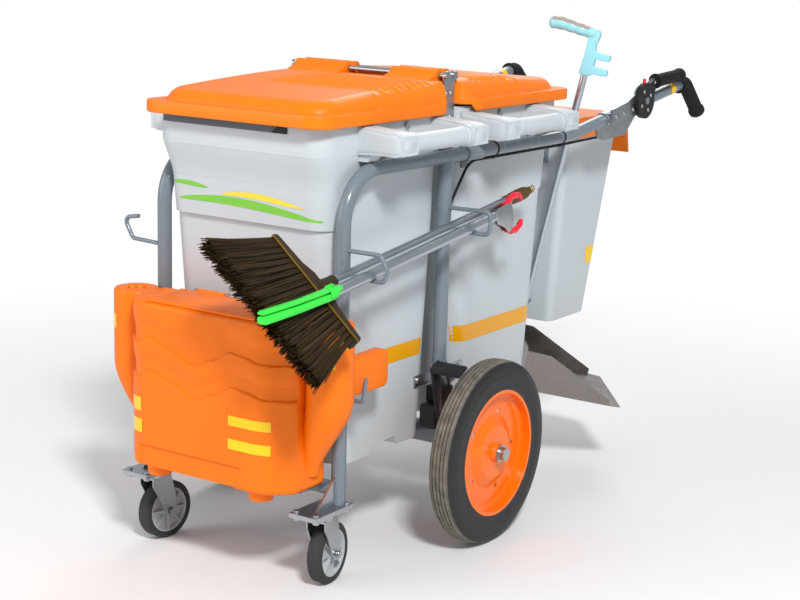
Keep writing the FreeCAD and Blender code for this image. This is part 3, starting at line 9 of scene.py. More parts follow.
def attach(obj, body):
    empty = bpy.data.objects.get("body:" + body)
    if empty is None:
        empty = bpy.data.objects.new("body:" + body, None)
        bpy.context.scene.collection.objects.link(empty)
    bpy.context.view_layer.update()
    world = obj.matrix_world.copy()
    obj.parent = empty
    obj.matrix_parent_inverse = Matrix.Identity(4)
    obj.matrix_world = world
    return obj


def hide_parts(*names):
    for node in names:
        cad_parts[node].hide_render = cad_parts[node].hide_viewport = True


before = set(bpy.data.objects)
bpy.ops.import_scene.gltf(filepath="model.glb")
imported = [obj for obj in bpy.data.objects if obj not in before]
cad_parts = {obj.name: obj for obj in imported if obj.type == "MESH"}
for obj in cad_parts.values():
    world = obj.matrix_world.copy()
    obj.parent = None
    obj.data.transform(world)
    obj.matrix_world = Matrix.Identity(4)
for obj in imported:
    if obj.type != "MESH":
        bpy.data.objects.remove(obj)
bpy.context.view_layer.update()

bl_info = {
    "name": "Street sweeping cart",
    "version": (1, 0, 0),
    "blender": (4, 5, 0),
    "location": "View3D > Sidebar > Cart",
    "description": "Dresses a street sweeper's handcart: bins, lids, wheels, tools and their finishes",
    "category": "Object",
}

SHIFT = -0.1949     # from the wheel axle to the middle of the footprint, along Y
PAIR_Y = 20         # the middle plane between the two bins, in millimetres behind the axle
BIN_CORNER = 44     # radius of the bins' upright corners, in millimetres
BODY_GREY = "injection_moulded_polyethylene_grey"
BOX_ORANGE = "moulded_polyethylene_box_orange"


def at(x, y, z):
    """A point given in millimetres from the ground under the wheel axle."""
    return Vector((x / 1000, y / 1000 + SHIFT, z / 1000))


def mm(x, y, z):
    """A point given in millimetres in a tool's own frame."""
    return Vector((x / 1000, y / 1000, z / 1000))


# Finishes

def linear(hex_code):
    """The one place where an sRGB hex value becomes Blender's linear colour."""
    parts = [int(hex_code[i:i + 2], 16) / 255 for i in (1, 3, 5)]
    return tuple(c / 12.92 if c <= 0.04045 else ((c + 0.055) / 1.055) ** 2.4 for c in parts) + (1.0,)


def add(tree, kind, settings=None, **links):
    """Adds one node, with its settings, its socket values, and its links from other nodes' sockets."""
    node = tree.nodes.new(kind)
    for key, value in (settings or {}).items():
        setattr(node, key, value)
    for key, value in links.items():
        key = int(key[1:]) if key[0] == "_" else key.replace("_", " ")
        if isinstance(value, bpy.types.NodeSocket):
            tree.links.new(value, node.inputs[key])
        else:
            node.inputs[key].default_value = value
    return node


def shade(colour, amount):
    """A lighter or darker mate of a colour, for its mottling."""
    return tuple(max(0.0, min(1.0, c * amount)) for c in colour[:3]) + (1.0,)


# name: sRGB colour, roughness, metallic, mottle depth, mottle size mm, grain size mm, grain height mm, coat
FINISHES = {
    # Rotation-moulded polyethylene: waxy, faintly pebbled, colour a little cloudy
    "moulded_polyethylene_orange": ("#FB7D08", 0.38, 0.0, 0.07, 60, 1.6, 0.05, 0.0),
    "moulded_polyethylene_box_orange": ("#FA7604", 0.40, 0.0, 0.08, 70, 1.6, 0.06, 0.0),
    # Injection-moulded polyethylene: smoother, pale grey, soft sheen and a trace of street dust
    "injection_moulded_polyethylene_grey": ("#C4CBCF", 0.38, 0.0, 0.05, 120, 1.2, 0.03, 0.0),
    # Glossy enamel on steel tube: slight orange peel, sharp soft-edged highlights
    "gloss_enamel_on_tube": ("#747E86", 0.24, 0.0, 0.05, 40, 3.0, 0.02, 0.35),
    # Enamel on the pressed steel rims
    "gloss_enamel_on_rim": ("#FA7204", 0.26, 0.0, 0.06, 30, 2.5, 0.02, 0.3),
    # Bright zinc plating: faintly blue, streaked and a little uneven
    "bright_zinc_plate": ("#B4B8BC", 0.34, 1.0, 0.14, 9, 1.0, 0.02, 0.0),
    # Natural rubber: matt, near black, finely pitted
    "vulcanised_rubber_black": ("#1B1B1D", 0.62, 0.0, 0.22, 12, 1.0, 0.08, 0.0),
    # Castor tread rubber, greyer from dust
    "castor_rubber_grey": ("#37383A", 0.66, 0.0, 0.25, 10, 1.2, 0.08, 0.0),
    # Glass-filled nylon: black with a dull sheen
    "glass_filled_nylon_black": ("#1E1F21", 0.46, 0.0, 0.15, 8, 0.8, 0.04, 0.0),
    # Cast polypropylene centre of the castor wheels
    "polypropylene_light_grey": ("#B9BDBF", 0.42, 0.0, 0.06, 20, 1.0, 0.03, 0.0),
    # Turned brass, slightly tarnished
    "turned_brass": ("#B8923E", 0.30, 1.0, 0.18, 6, 0.8, 0.02, 0.0),
    # Bakelite-like brown handle plastic, ribbed and dull
    "phenolic_brown": ("#5B4526", 0.44, 0.0, 0.18, 10, 0.9, 0.04, 0.0),
    # Dark stained beech broom stock
    "stained_beech": ("#3A2C1C", 0.50, 0.0, 0.30, 14, 1.5, 0.08, 0.0),
    # Fluorescent green nylon jaws: smooth, almost shadowless
    "nylon_fluorescent_green": ("#3CE64A", 0.32, 0.0, 0.04, 25, 1.2, 0.02, 0.15),
    # Red dipped vinyl handles
    "dipped_vinyl_red": ("#E8273A", 0.28, 0.0, 0.05, 15, 1.2, 0.03, 0.25),
    # Pale aqua ABS comb
    "abs_pale_aqua": ("#97D8E4", 0.34, 0.0, 0.04, 20, 1.0, 0.02, 0.1),
    # Anodised aluminium tube: satin, drawn along its length
    "anodised_aluminium_drawn": ("#BFC5CC", 0.30, 1.0, 0.08, 5, 0.6, 0.01, 0.0),
    # Galvanised sheet: dull metal with soft spangle
    "galvanised_sheet": ("#AAB0B4", 0.38, 1.0, 0.16, 16, 2.0, 0.02, 0.0),
    # Stainless sheet, darkened and browned all over by a painted reflection of the road
    "stainless_sheet_painted_road_reflection": ("#8D8783", 0.26, 1.0, 0.10, 40, 1.0, 0.01, 0.0),
    # Stoved black paint on steel
    "stoved_black_steel": ("#222427", 0.42, 0.0, 0.10, 12, 1.5, 0.03, 0.1),
    # Soft overlay on the dustpan's grip
    "soft_grip_warm_grey": ("#A99C90", 0.55, 0.0, 0.06, 15, 0.8, 0.04, 0.0),
    # Slate-coloured painted shade under the front rim, standing in for the shadow beneath the lid's edge
    "slate_painted_shade": ("#5F666C", 0.55, 0.0, 0.08, 20, 1.0, 0.05, 0.0),
    # Prismatic reflective tape, amber
    "reflective_tape_amber": ("#E9A300", 0.30, 0.0, 0.06, 4, 3.0, 0.05, 0.4),
    # Prismatic reflective tape, lemon
    "reflective_tape_yellow": ("#FFCB00", 0.30, 0.0, 0.06, 4, 3.0, 0.05, 0.4),
    # Screen-printed vinyl film in green and yellow
    "vinyl_film_green": ("#7CC63C", 0.30, 0.0, 0.03, 30, 2.0, 0.01, 0.2),
    "vinyl_film_yellow": ("#F4D93A", 0.30, 0.0, 0.03, 30, 2.0, 0.01, 0.2),
}
MADE = {}


def blank(name):
    """A new material, kept under its name, and its emptied node tree."""
    made = MADE[name] = bpy.data.materials.new(name)
    made.use_nodes = True
    made.node_tree.nodes.clear()
    return made, made.node_tree


def finish(name):
    """The finish of that name, made once: mottled colour, uneven gloss and a fine surface grain."""
    if name in MADE:
        return MADE[name]
    code, rough, metallic, mottle, mottle_mm, bump_mm, bump_high, coat = FINISHES[name]
    base = linear(code)
    made, tree = blank(name)
    place = add(tree, "ShaderNodeTexCoord").outputs["Object"]
    if name == "anodised_aluminium_drawn":
        place = add(tree, "ShaderNodeMapping", _0=place, Scale=(1.0, 0.12, 0.4)).outputs[0]
    cloud = add(tree, "ShaderNodeTexNoise", Vector=place, Scale=1000 / mottle_mm, Detail=5.0, Roughness=0.6)
    if name == "galvanised_sheet":
        cloud = add(tree, "ShaderNodeTexVoronoi", Vector=place, Scale=1000 / mottle_mm)
    colour = add(tree, "ShaderNodeMix", {"data_type": "RGBA"}, _0=cloud.outputs[0], _6=shade(base, 1 - mottle),
                 _7=shade(base, 1 + mottle * 0.8)).outputs[2]
    if name.startswith("injection_moulded"):
        # street dust, thicker low down
        height = add(tree, "ShaderNodeSeparateXYZ", Vector=place).outputs["Z"]
        low = add(tree, "ShaderNodeMapRange", Value=height, From_Min=0.22, From_Max=0.45, To_Min=0.5, To_Max=0.0)
        dust = add(tree, "ShaderNodeMath", {"operation": "MULTIPLY"}, _0=low.outputs[0], _1=cloud.outputs[0])
        colour = add(tree, "ShaderNodeMix", {"data_type": "RGBA"}, _0=dust.outputs[0], _6=colour,
                     _7=linear("#A39D90")).outputs[2]
    gloss = add(tree, "ShaderNodeMapRange", Value=cloud.outputs[0], From_Min=0.2, From_Max=0.8,
                To_Min=rough - 0.05, To_Max=rough + 0.07)
    grain = add(tree, "ShaderNodeTexNoise", Vector=place, Scale=1000 / bump_mm, Detail=3.0)
    bump = add(tree, "ShaderNodeBump", Height=grain.outputs[0], Strength=0.35, Distance=bump_high / 1000)
    shader = add(tree, "ShaderNodeBsdfPrincipled", Base_Color=colour, Roughness=gloss.outputs[0],
                 Metallic=metallic, Normal=bump.outputs[0], Coat_Weight=coat, Coat_Roughness=0.12,
                 Specular_IOR_Level=0.5 if metallic else 0.26)
    add(tree, "ShaderNodeOutputMaterial", Surface=shader.outputs[0])
    return made


def rubber_tyre():
    """Solid rubber tyre: black side walls, and a tread worn grey-brown by the road on top of its ribs."""
    made, tree = blank("solid_rubber_tyre")
    place = add(tree, "ShaderNodeTexCoord").outputs["Object"]
    axle = add(tree, "ShaderNodeMapping", _0=place, Location=(0, -SHIFT, -0.2)).outputs[0]
    flat = add(tree, "ShaderNodeVectorMath", {"operation": "MULTIPLY"}, _0=axle, _1=(0, 1, 1)).outputs[0]
    radius = add(tree, "ShaderNodeVectorMath", {"operation": "LENGTH"}, _0=flat).outputs["Value"]
    worn = add(tree, "ShaderNodeMapRange", Value=radius, From_Min=0.1950, From_Max=0.1985)
    cloud = add(tree, "ShaderNodeTexNoise", Vector=place, Scale=60.0, Detail=6.0)
    wear = add(tree, "ShaderNodeMath", {"operation": "MULTIPLY"}, _0=worn.outputs[0], _1=cloud.outputs[0])
    colour = add(tree, "ShaderNodeMix", {"data_type": "RGBA"}, _0=wear.outputs[0], _6=linear("#1C1D1F"),
                 _7=linear("#989082")).outputs[2]
    grain = add(tree, "ShaderNodeTexNoise", Vector=place, Scale=900.0)
    bump = add(tree, "ShaderNodeBump", Height=grain.outputs[0], Strength=0.4, Distance=0.0001)
    gloss = add(tree, "ShaderNodeMapRange", Value=cloud.outputs[0], To_Min=0.45, To_Max=0.65)
    shader = add(tree, "ShaderNodeBsdfPrincipled", Base_Color=colour, Roughness=gloss.outputs[0],
                 Normal=bump.outputs[0])
    add(tree, "ShaderNodeOutputMaterial", Surface=shader.outputs[0])
    return made


# Making meshes

def joined(bm, name, finish_names, body, stands_for=(), bevel=0.0, angle=35, loops=2):
    """Turns a bmesh into a finished piece: doubles merged, faces outward, edges eased, smooth where it curves."""
    bmesh.ops.remove_doubles(bm, verts=bm.verts, dist=0.00001)
    bmesh.ops.recalc_face_normals(bm, faces=bm.faces)
    mesh = bpy.data.meshes.new(name)
    bm.to_mesh(mesh)
    bm.free()
    obj = bpy.data.objects.new(name, mesh)
    bpy.context.collection.objects.link(obj)
    for finish_name in finish_names:
        mesh.materials.append(finish(finish_name))
    if bevel:
        edges = obj.modifiers.new("eased edges", "BEVEL")
        edges.width, edges.segments, edges.limit_method = bevel, loops, "ANGLE"
        edges.angle_limit = math.radians(angle)
        settle(obj)
    obj.data.shade_smooth()
    obj.data.set_sharp_from_angle(angle=math.radians(angle))
    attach(obj, body)
    if stands_for:
        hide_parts(*stands_for)
    return obj


def settle(obj):
    """Replaces an object's mesh by its modified one and removes the modifiers."""
    bpy.context.view_layer.update()
    shown = obj.evaluated_get(bpy.context.evaluated_depsgraph_get())
    mesh = bpy.data.meshes.new_from_object(shown)
    obj.modifiers.clear()
    obj.data = mesh


def loft(bm, rings, mat=0, ends=(True, True)):
    """Skins closed rings of equal count, with a face over each end that is asked for."""
    rows = [[bm.verts.new(p) for p in ring] for ring in rings]
    count = len(rows[0])
    for low, high in zip(rows, rows[1:]):
        for i in range(count):
            j = (i + 1) % count
            bm.faces.new((low[i], low[j], high[j], high[i])).material_index = mat
    for wanted, row in zip(ends, (rows[0], rows[-1])):
        if wanted:
            bm.faces.new(row).material_index = mat


def prism(bm, outline, span):
    """A flat outline in Y and Z, carried along X from one end of the span to the other."""
    loft(bm, [[at(x, y, z) for y, z in outline] for x in span])


def slab(bm, place, outline, span, axis="X"):
    """A flat outline in a tool's own frame, carried along that frame's X or Z."""
    spot = {"X": lambda a, u, v: mm(a, u, v), "Z": lambda a, u, v: mm(u, v, a)}[axis]
    loft(bm, [[place @ spot(end, u, v) for u, v in outline] for end in span])


def sheet(bm, rows, mat=0):
    """A film laid over a grid of points."""
    grid = [[bm.verts.new(p) for p in row] for row in rows]
    for low, high in zip(grid, grid[1:]):
        for i in range(len(low) - 1):
            bm.faces.new((low[i], low[i + 1], high[i + 1], high[i])).material_index = mat


def turned(bm, profile, centre, axis, steps):
    """A turned form. The profile gives (distance along the axis, radius) in metres; radius 0 closes to a point."""
    axis = Vector(axis).normalized()
    side = axis.orthogonal().normalized()
    other = axis.cross(side)
    centre = Vector(centre)
    rows = []
    for along, radius in profile:
        spot = centre + axis * along
        if radius < 1e-6:
            rows.append([bm.verts.new(spot)])
        else:
            rows.append([bm.verts.new(spot + (side * math.cos(2 * math.pi * k / steps)
                                              + other * math.sin(2 * math.pi * k / steps)) * radius)
                         for k in range(steps)])
    for low, high in zip(rows, rows[1:]):
        for k in range(steps):
            n = (k + 1) % steps
            near = low if len(low) == 1 else [low[k], low[n]]
            bm.faces.new(near + (high if len(high) == 1 else [high[n], high[k]]))


def rounded_path(points, radius, steps=8):
    """Runs with round corners, as points that a tube can follow."""
    path = [points[0]]
    for before, corner, after in zip(points, points[1:], points[2:]):
        back, ahead = (before - corner).normalized(), (after - corner).normalized()
        half = back.angle(ahead) / 2
        reach = min(radius / math.tan(half), (before - corner).length * 0.49, (after - corner).length * 0.49)
        for i in range(steps + 1):
            t = i / steps
            a, b = corner + back * reach, corner + ahead * reach
            path.append(a.lerp(corner, t).lerp(corner.lerp(b, t), t))
    return path + [points[-1]]


def tube(bm, path, radii, sides):
    """A round bar along a path, with a radius for each of its points."""
    side = (path[1] - path[0]).orthogonal().normalized()
    rings = []
    for i, (spot, r) in enumerate(zip(path, radii)):
        run = (path[min(i + 1, len(path) - 1)] - path[max(i - 1, 0)]).normalized()
        side = (side - run * side.dot(run)).normalized()
        other = run.cross(side)
        rings.append([spot + (side * math.cos(a) + other * math.sin(a)) * r
                      for a in (2 * math.pi * k / sides for k in range(sides))])
    loft(bm, rings)


def ease(t):
    """A soft step from 0 to 1."""
    t = max(0.0, min(1.0, t))
    return t * t * (3 - 2 * t)


# Settings that a user would change

class CartSizes(bpy.types.PropertyGroup):
    bristles: bpy.props.IntProperty(name="Bristles", description="Bristles on the broom",
                                    default=7800, min=200, max=9000)
    wave_depth: bpy.props.FloatProperty(name="Wave depth", description="Depth of the tool box's moulded waves",
                                        default=0.0085, min=0.0, max=0.012, subtype="DISTANCE", unit="LENGTH")
    lid_rib_height: bpy.props.FloatProperty(name="Lid rib height", description="Height of the ribs on the bin lids",
                                            default=0.0034, min=0.0, max=0.01, subtype="DISTANCE", unit="LENGTH")


class CartColours(bpy.types.PropertyGroup):
    floor: bpy.props.FloatVectorProperty(name="Floor", description="Colour of the studio floor", subtype="COLOR",
                                         default=(0.84, 0.84, 0.84), min=0.0, max=1.0)


# Moulded pieces

def corner_arcs(left, right, low, high, radius, steps):
    """The four corners of a box with round corners, going round from the upper right one, each a row of points."""
    corners = ((right - radius, high - radius, 0), (left + radius, high - radius, 90),
               (left + radius, low + radius, 180), (right - radius, low + radius, 270))
    return [[(x + radius * math.cos(a), y + radius * math.sin(a))
             for a in (math.radians(start + 90 * k / steps) for k in range(steps + 1))] for x, y, start in corners]


def rounded_box(half, low, high, radius, steps, along=1):
    """Plan of a box with round corners, as points evenly spread along its sides, in millimetres."""
    arcs = corner_arcs(-half, half, low, high, radius, steps)
    points = []
    for n, arc in enumerate(arcs):
        (x0, y0), (x1, y1) = arc[-1], arcs[(n + 1) % 4][0]
        points += arc + [(x0 + (x1 - x0) * k / (along + 1), y0 + (y1 - y0) * k / (along + 1))
                         for k in range(1, along + 1)]
    return points


LID_HALF, LID_NEAR, LID_FAR = 232, 24, 492  # half width, and reach from the middle plane
FLANGE_TOP, CROWN_TOP, CROWN_CORNER = 940.5, 983, 64
LID_BUMPS = (150, 192, 234, 276)  # places of the four small bumps along the crown's edge
LID_SKIN = 4.5


def lid_height(x, away, rib):
    """Top of a bin lid over its plan: a flange, a soft-edged crown that falls towards its free edge, and its ribs."""
    out = (away - LID_NEAR) / 430
    crown = CROWN_TOP - 20 * out ** 1.6
    # distance in from the crown's own outline, which has large round corners at the free edge
    dx, dy = 219 - 8 * out - abs(x), 464 - away
    if dx < CROWN_CORNER and dy < CROWN_CORNER:
        inside = CROWN_CORNER - math.hypot(CROWN_CORNER - dx, CROWN_CORNER - dy)
    else:
        inside = min(dx, dy)
    t = max(0.0, min(1.0, inside / 30))
    z = FLANGE_TOP + (crown - FLANGE_TOP) * math.sqrt(1 - (1 - t) ** 2) ** 1.35
    # wavy ribs, which fade out towards the far edge and the left
    field = ease((x + 150) / 150) * ease((206 - abs(x)) / 14) * ease((away - 66) / 20) * ease((300 - away) / 80)
    z += rib * field * math.sin(2 * math.pi * (away + 14 * math.sin((x + 20) / 70)) / 24)
    for bump in LID_BUMPS:
        z += 3.5 * math.exp(-((x - 204) / 9) ** 2 - ((away - bump) / 7) ** 2)
    return z


def bin_lid(name, sign, body):
    """One crowned lid with its skirt and the two knuckles that ride on the hinge rod."""
    rib = bpy.context.scene.cart_sizes.lid_rib_height * 1000
    bm = bmesh.new()

    def ring(inset, height):
        plan = rounded_box(LID_HALF - inset, LID_NEAR + inset, LID_FAR - inset, max(48 - inset, 0.5), 6, 110)
        return [at(x, PAIR_Y + sign * away, height(x, away) if callable(height) else height) for x, away in plan]

    def underside(x, away):
        return lid_height(x, away, 0) - LID_SKIN

    def skirt(low):
        """The skirt's lower edge, which is cut away beside the hinge."""
        return lambda x, away: low if away > 56 else low + 14

    under = [ring(i, underside) for i in (224, 150, 80) + tuple(range(60, 7, -3)) + (4,)]
    rings = [ring(4, skirt(917)), ring(2, skirt(916.2)), ring(0.3, skirt(917.5)), ring(0, skirt(919)), ring(0, 938),
             ring(0.8, 940.6)]
    top = [ring(i, lambda x, a: lid_height(x, a, rib)) for i in
           (2.4, 6, 9) + tuple(range(12, 56, 2)) + tuple(range(56, 231, 3))]
    loft(bm, under + rings + top)
    for low, high in ((-190, -54), (64, 180)):
        turn = [(15 - 13 * math.cos(t), 992 + 13 * math.sin(t)) for t in [math.pi * k / 9 - 0.45 for k in range(10)]]
        knuckle = turn + [(34, 991), (52, 985), (60, 979), (60, 972), (24, 972), (18, 979.5)]
        prism(bm, [(PAIR_Y + sign * a, z) for a, z in knuckle], (low, high))
    joined(bm, name + "_shell", ["moulded_polyethylene_orange"], body, (name,), angle=50)


# Right half of the tool box's plan, from the front to the back, and its mouth
CHEST = ((146, -556), (174, -548), (197, -524), (212, -510), (212, -411))
MOUTH_FRONT, MOUTH_BACK, MOUTH_MIDDLE = (128, -540), (142, -433), Vector((0, -485))
BOX_TOP = 550
# The two broom holders beside it
COLUMN_X, COLUMN_Y, COLUMN_RADIUS = 250, -456, 47


def chest_plan(spacing=3.0):
    """Plan of the tool box with eased corners: points and their outward directions, going round once."""
    loop = [Vector(corner) for corner in CHEST] + [Vector((-x, y)) for x, y in reversed(CHEST)]
    path = []
    for n, corner in enumerate(loop):
        back, ahead = loop[n - 1] - corner, loop[(n + 1) % len(loop)] - corner
        reach = min(16, back.length * 0.45, ahead.length * 0.45)
        a, b = corner + back.normalized() * reach, corner + ahead.normalized() * reach
        path += [a.lerp(corner, t / 4).lerp(corner.lerp(b, t / 4), t / 4) for t in range(5)]
    spots = []
    for n, spot in enumerate(path):
        after = path[(n + 1) % len(path)]
        parts = max(1, round((after - spot).length / spacing)) if (spot.y + after.y) / 2 < -415 else 1
        spots += [spot.lerp(after, k / parts) for k in range(parts)]
    plan = []
    for n, spot in enumerate(spots):
        run = (spots[(n + 1) % len(spots)] - spots[n - 1]).normalized()
        out = Vector((run.y, -run.x))
        plan.append((spot, -out if out.dot(spot - Vector((0, -480))) < 0 else out))
    return plan


# Two wavy ledges across the tool box's front, from left to right
WAVES = (((-212, 470), (-166, 466), (-136, 479), (-75, 462), (-13, 438), (35, 458), (80, 481), (118, 477),
          (152, 469), (212, 466)),
         ((-212, 398), (-159, 395), (-129, 410), (-68, 393), (-5, 370), (42, 390), (86, 412), (122, 408),
          (158, 399), (212, 396)))


def wave_height(wave, x):
    """Height of a ledge there."""
    for (x0, z0), (x1, z1) in zip(wave, wave[1:]):
        if x <= x1:
            return z0 + (z1 - z0) * ease((x - x0) / (x1 - x0))
    return wave[-1][1]


def chest_relief(x, y, z, deep):
    """How far the tool box's wall steps in: two moulded waves, a foot panel and eased upper and lower edges."""
    front = ease((-500 - y) / 14)
    step = 0.0
    for wave in WAVES:
        low = wave_height(wave, x)
        step += deep * front * (ease((z - low) / 4 + 0.5) - ease((z - low - 6) / 46))
    panel = ease((252 - z) / 5 + 0.5) * ease((108 - x + 0.4 * (z - 252)) / 5 + 0.5) * ease((x + 158) / 5 + 0.5)
    step += 6.5 * panel * front
    for radius, past in ((10, z - 540), (12, 217 - z)):
        step += radius * (1 - math.sqrt(max(0.0, 1 - max(0.0, past / radius) ** 2)))
    return step


class CART_OT_tool_box(bpy.types.Operator):
    """Moulds the tool box with its waves, feet and mouth"""
    bl_idname = "cart.tool_box"
    bl_label = "Tool box"

    def execute(self, context):
        deep = context.scene.cart_sizes.wave_depth * 1000
        plan = chest_plan()
        heights = [205, 206.5, 208.5, 211, 214, 218] + list(range(222, 534, 3)) + [
            536, 539, 541.5, 544, 546, 548, 549.4, BOX_TOP]

        def wall(z):
            return [at(*(spot - out * chest_relief(spot.x, spot.y, z, deep)), z) for spot, out in plan]

        def mouth(z, grow):
            """The mouth, met by a ray from the middle through each point of the plan."""
            (front_x, front_y), (back_x, back_y) = MOUTH_FRONT, MOUTH_BACK
            half = [Vector((front_x + grow, front_y - grow)), Vector((back_x + grow, back_y + grow))]
            sides = half + [Vector((-p.x, p.y)) for p in reversed(half)]
            ring = []
            for spot, out in plan:
                ray = (spot - MOUTH_MIDDLE).normalized()
                met = []
                for a, b in zip(sides, sides[1:] + sides[:1]):
                    edge, off = b - a, a - MOUTH_MIDDLE
                    base = ray.cross(edge)
                    if abs(base) > 1e-9:
                        reach, share = off.cross(edge) / base, off.cross(ray) / base
                        if reach > 0 and -1e-6 <= share <= 1 + 1e-6:
                            met.append(reach)
                ring.append(at(*(MOUTH_MIDDLE + ray * min(met)), z))
            return ring

        inner = [[at(*(spot - out * 5), z) for spot, out in plan] for z in (545, 210)]
        bm = bmesh.new()
        loft(bm, [wall(z) for z in heights] + [mouth(BOX_TOP, 3), mouth(548, 0), mouth(545, 0)] + inner)
        for side in (-1, 1):
            turned(bm, [(0, 0), (0, 0.020), (0.002, 0.0235), (0.006, 0.025), (0.026, 0.026), (0.026, 0)],
                   at(side * 132, -517, 185), (0, 0, 1), 36)
        joined(bm, "tool_box_shell", [BOX_ORANGE], "frame", ("tool_box",), angle=55)
        self.columns()
        self.tape(plan, deep)
        return {"FINISHED"}

    def columns(self):
        """The two broom holders: bored, with a four-lobed mouth, melting into the flank below, and an ear behind."""
        bm = bmesh.new()
        for side in (-1, 1):
            def ring(z, radius, x=COLUMN_X, lobe=0.0, count=64):
                spots = []
                for k in range(count):
                    a = 2 * math.pi * k / count
                    r = radius + lobe * math.cos(2 * a) ** 2
                    spots.append(at(side * (x + r * math.cos(a)), COLUMN_Y + r * math.sin(a), z))
                return spots

            taper = [ring(236 + 164 * t, 22 + 25 * ease(t * 1.02) ** 0.8, 200 + 50 * ease(t) ** 0.9)
                     for t in [k / 14 for k in range(15)]]
            outer = [ring(z, COLUMN_RADIUS) for z in (440, 500, 543)] + [ring(547, 46), ring(549.3, 44)]
            mouth = [ring(z, r, lobe=5.5) for z, r in ((BOX_TOP, 20.5), (548.5, 18.5), (532, 18))]
            loft(bm, [ring(232, 18, 196)] + taper + outer + [ring(BOX_TOP, 41)] + mouth
                 + [ring(531, 17), ring(345, 17)])
        joined(bm, "tool_box_columns_shell", [BOX_ORANGE], "frame", ("tool_box_columns",), angle=50)
        bm = bmesh.new()
        for side in (-1, 1):
            prism(bm, [(-452, 396), (-452, 470), (-310, 474), (-292, 468), (-290, 404), (-300, 394)],
                  sorted((side * 246.5, side * 275)))
        joined(bm, "tool_box_ears", [BOX_ORANGE], "frame", bevel=0.007, angle=25, loops=3)

    def tape(self, plan, deep):
        """Reflective patches laid on the front and the flank, following the wall."""
        bm = bmesh.new()
        for x0, x1, z0, z1 in ((-186, -146, 323, 352), (-184, -144, 278, 307), (78, 176, 336, 356),
                               (78, 176, 288, 309)):
            run = sorted(((spot, out) for spot, out in plan if x0 <= spot.x <= x1 and spot.y < -500),
                         key=lambda item: item[0].x)
            sheet(bm, [[at(*(spot - out * (chest_relief(spot.x, spot.y, z, deep) - 0.7)), z) for spot, out in run]
                       for z in [z0 + (z1 - z0) * k / 6 for k in range(7)]])
        for side, start, end in ((-1, 205, 250), (1, 262, 318)):
            angles = [math.radians(start + (end - start) * i / 10) for i in range(11)]
            sheet(bm, [[at(side * COLUMN_X + (COLUMN_RADIUS + 0.5) * math.cos(a),
                           COLUMN_Y + (COLUMN_RADIUS + 0.5) * math.sin(a), z) for a in angles] for z in (468, 498)])
        joined(bm, "tool_box_tape", ["reflective_tape_yellow"], "frame")


class CART_OT_lids(bpy.types.Operator):
    """Moulds the two bin lids"""
    bl_idname = "cart.lids"
    bl_label = "Bin lids"

    def execute(self, context):
        bin_lid("front_lid", -1, "front_lid")
        bin_lid("rear_lid", 1, "rear_lid")
        return {"FINISHED"}


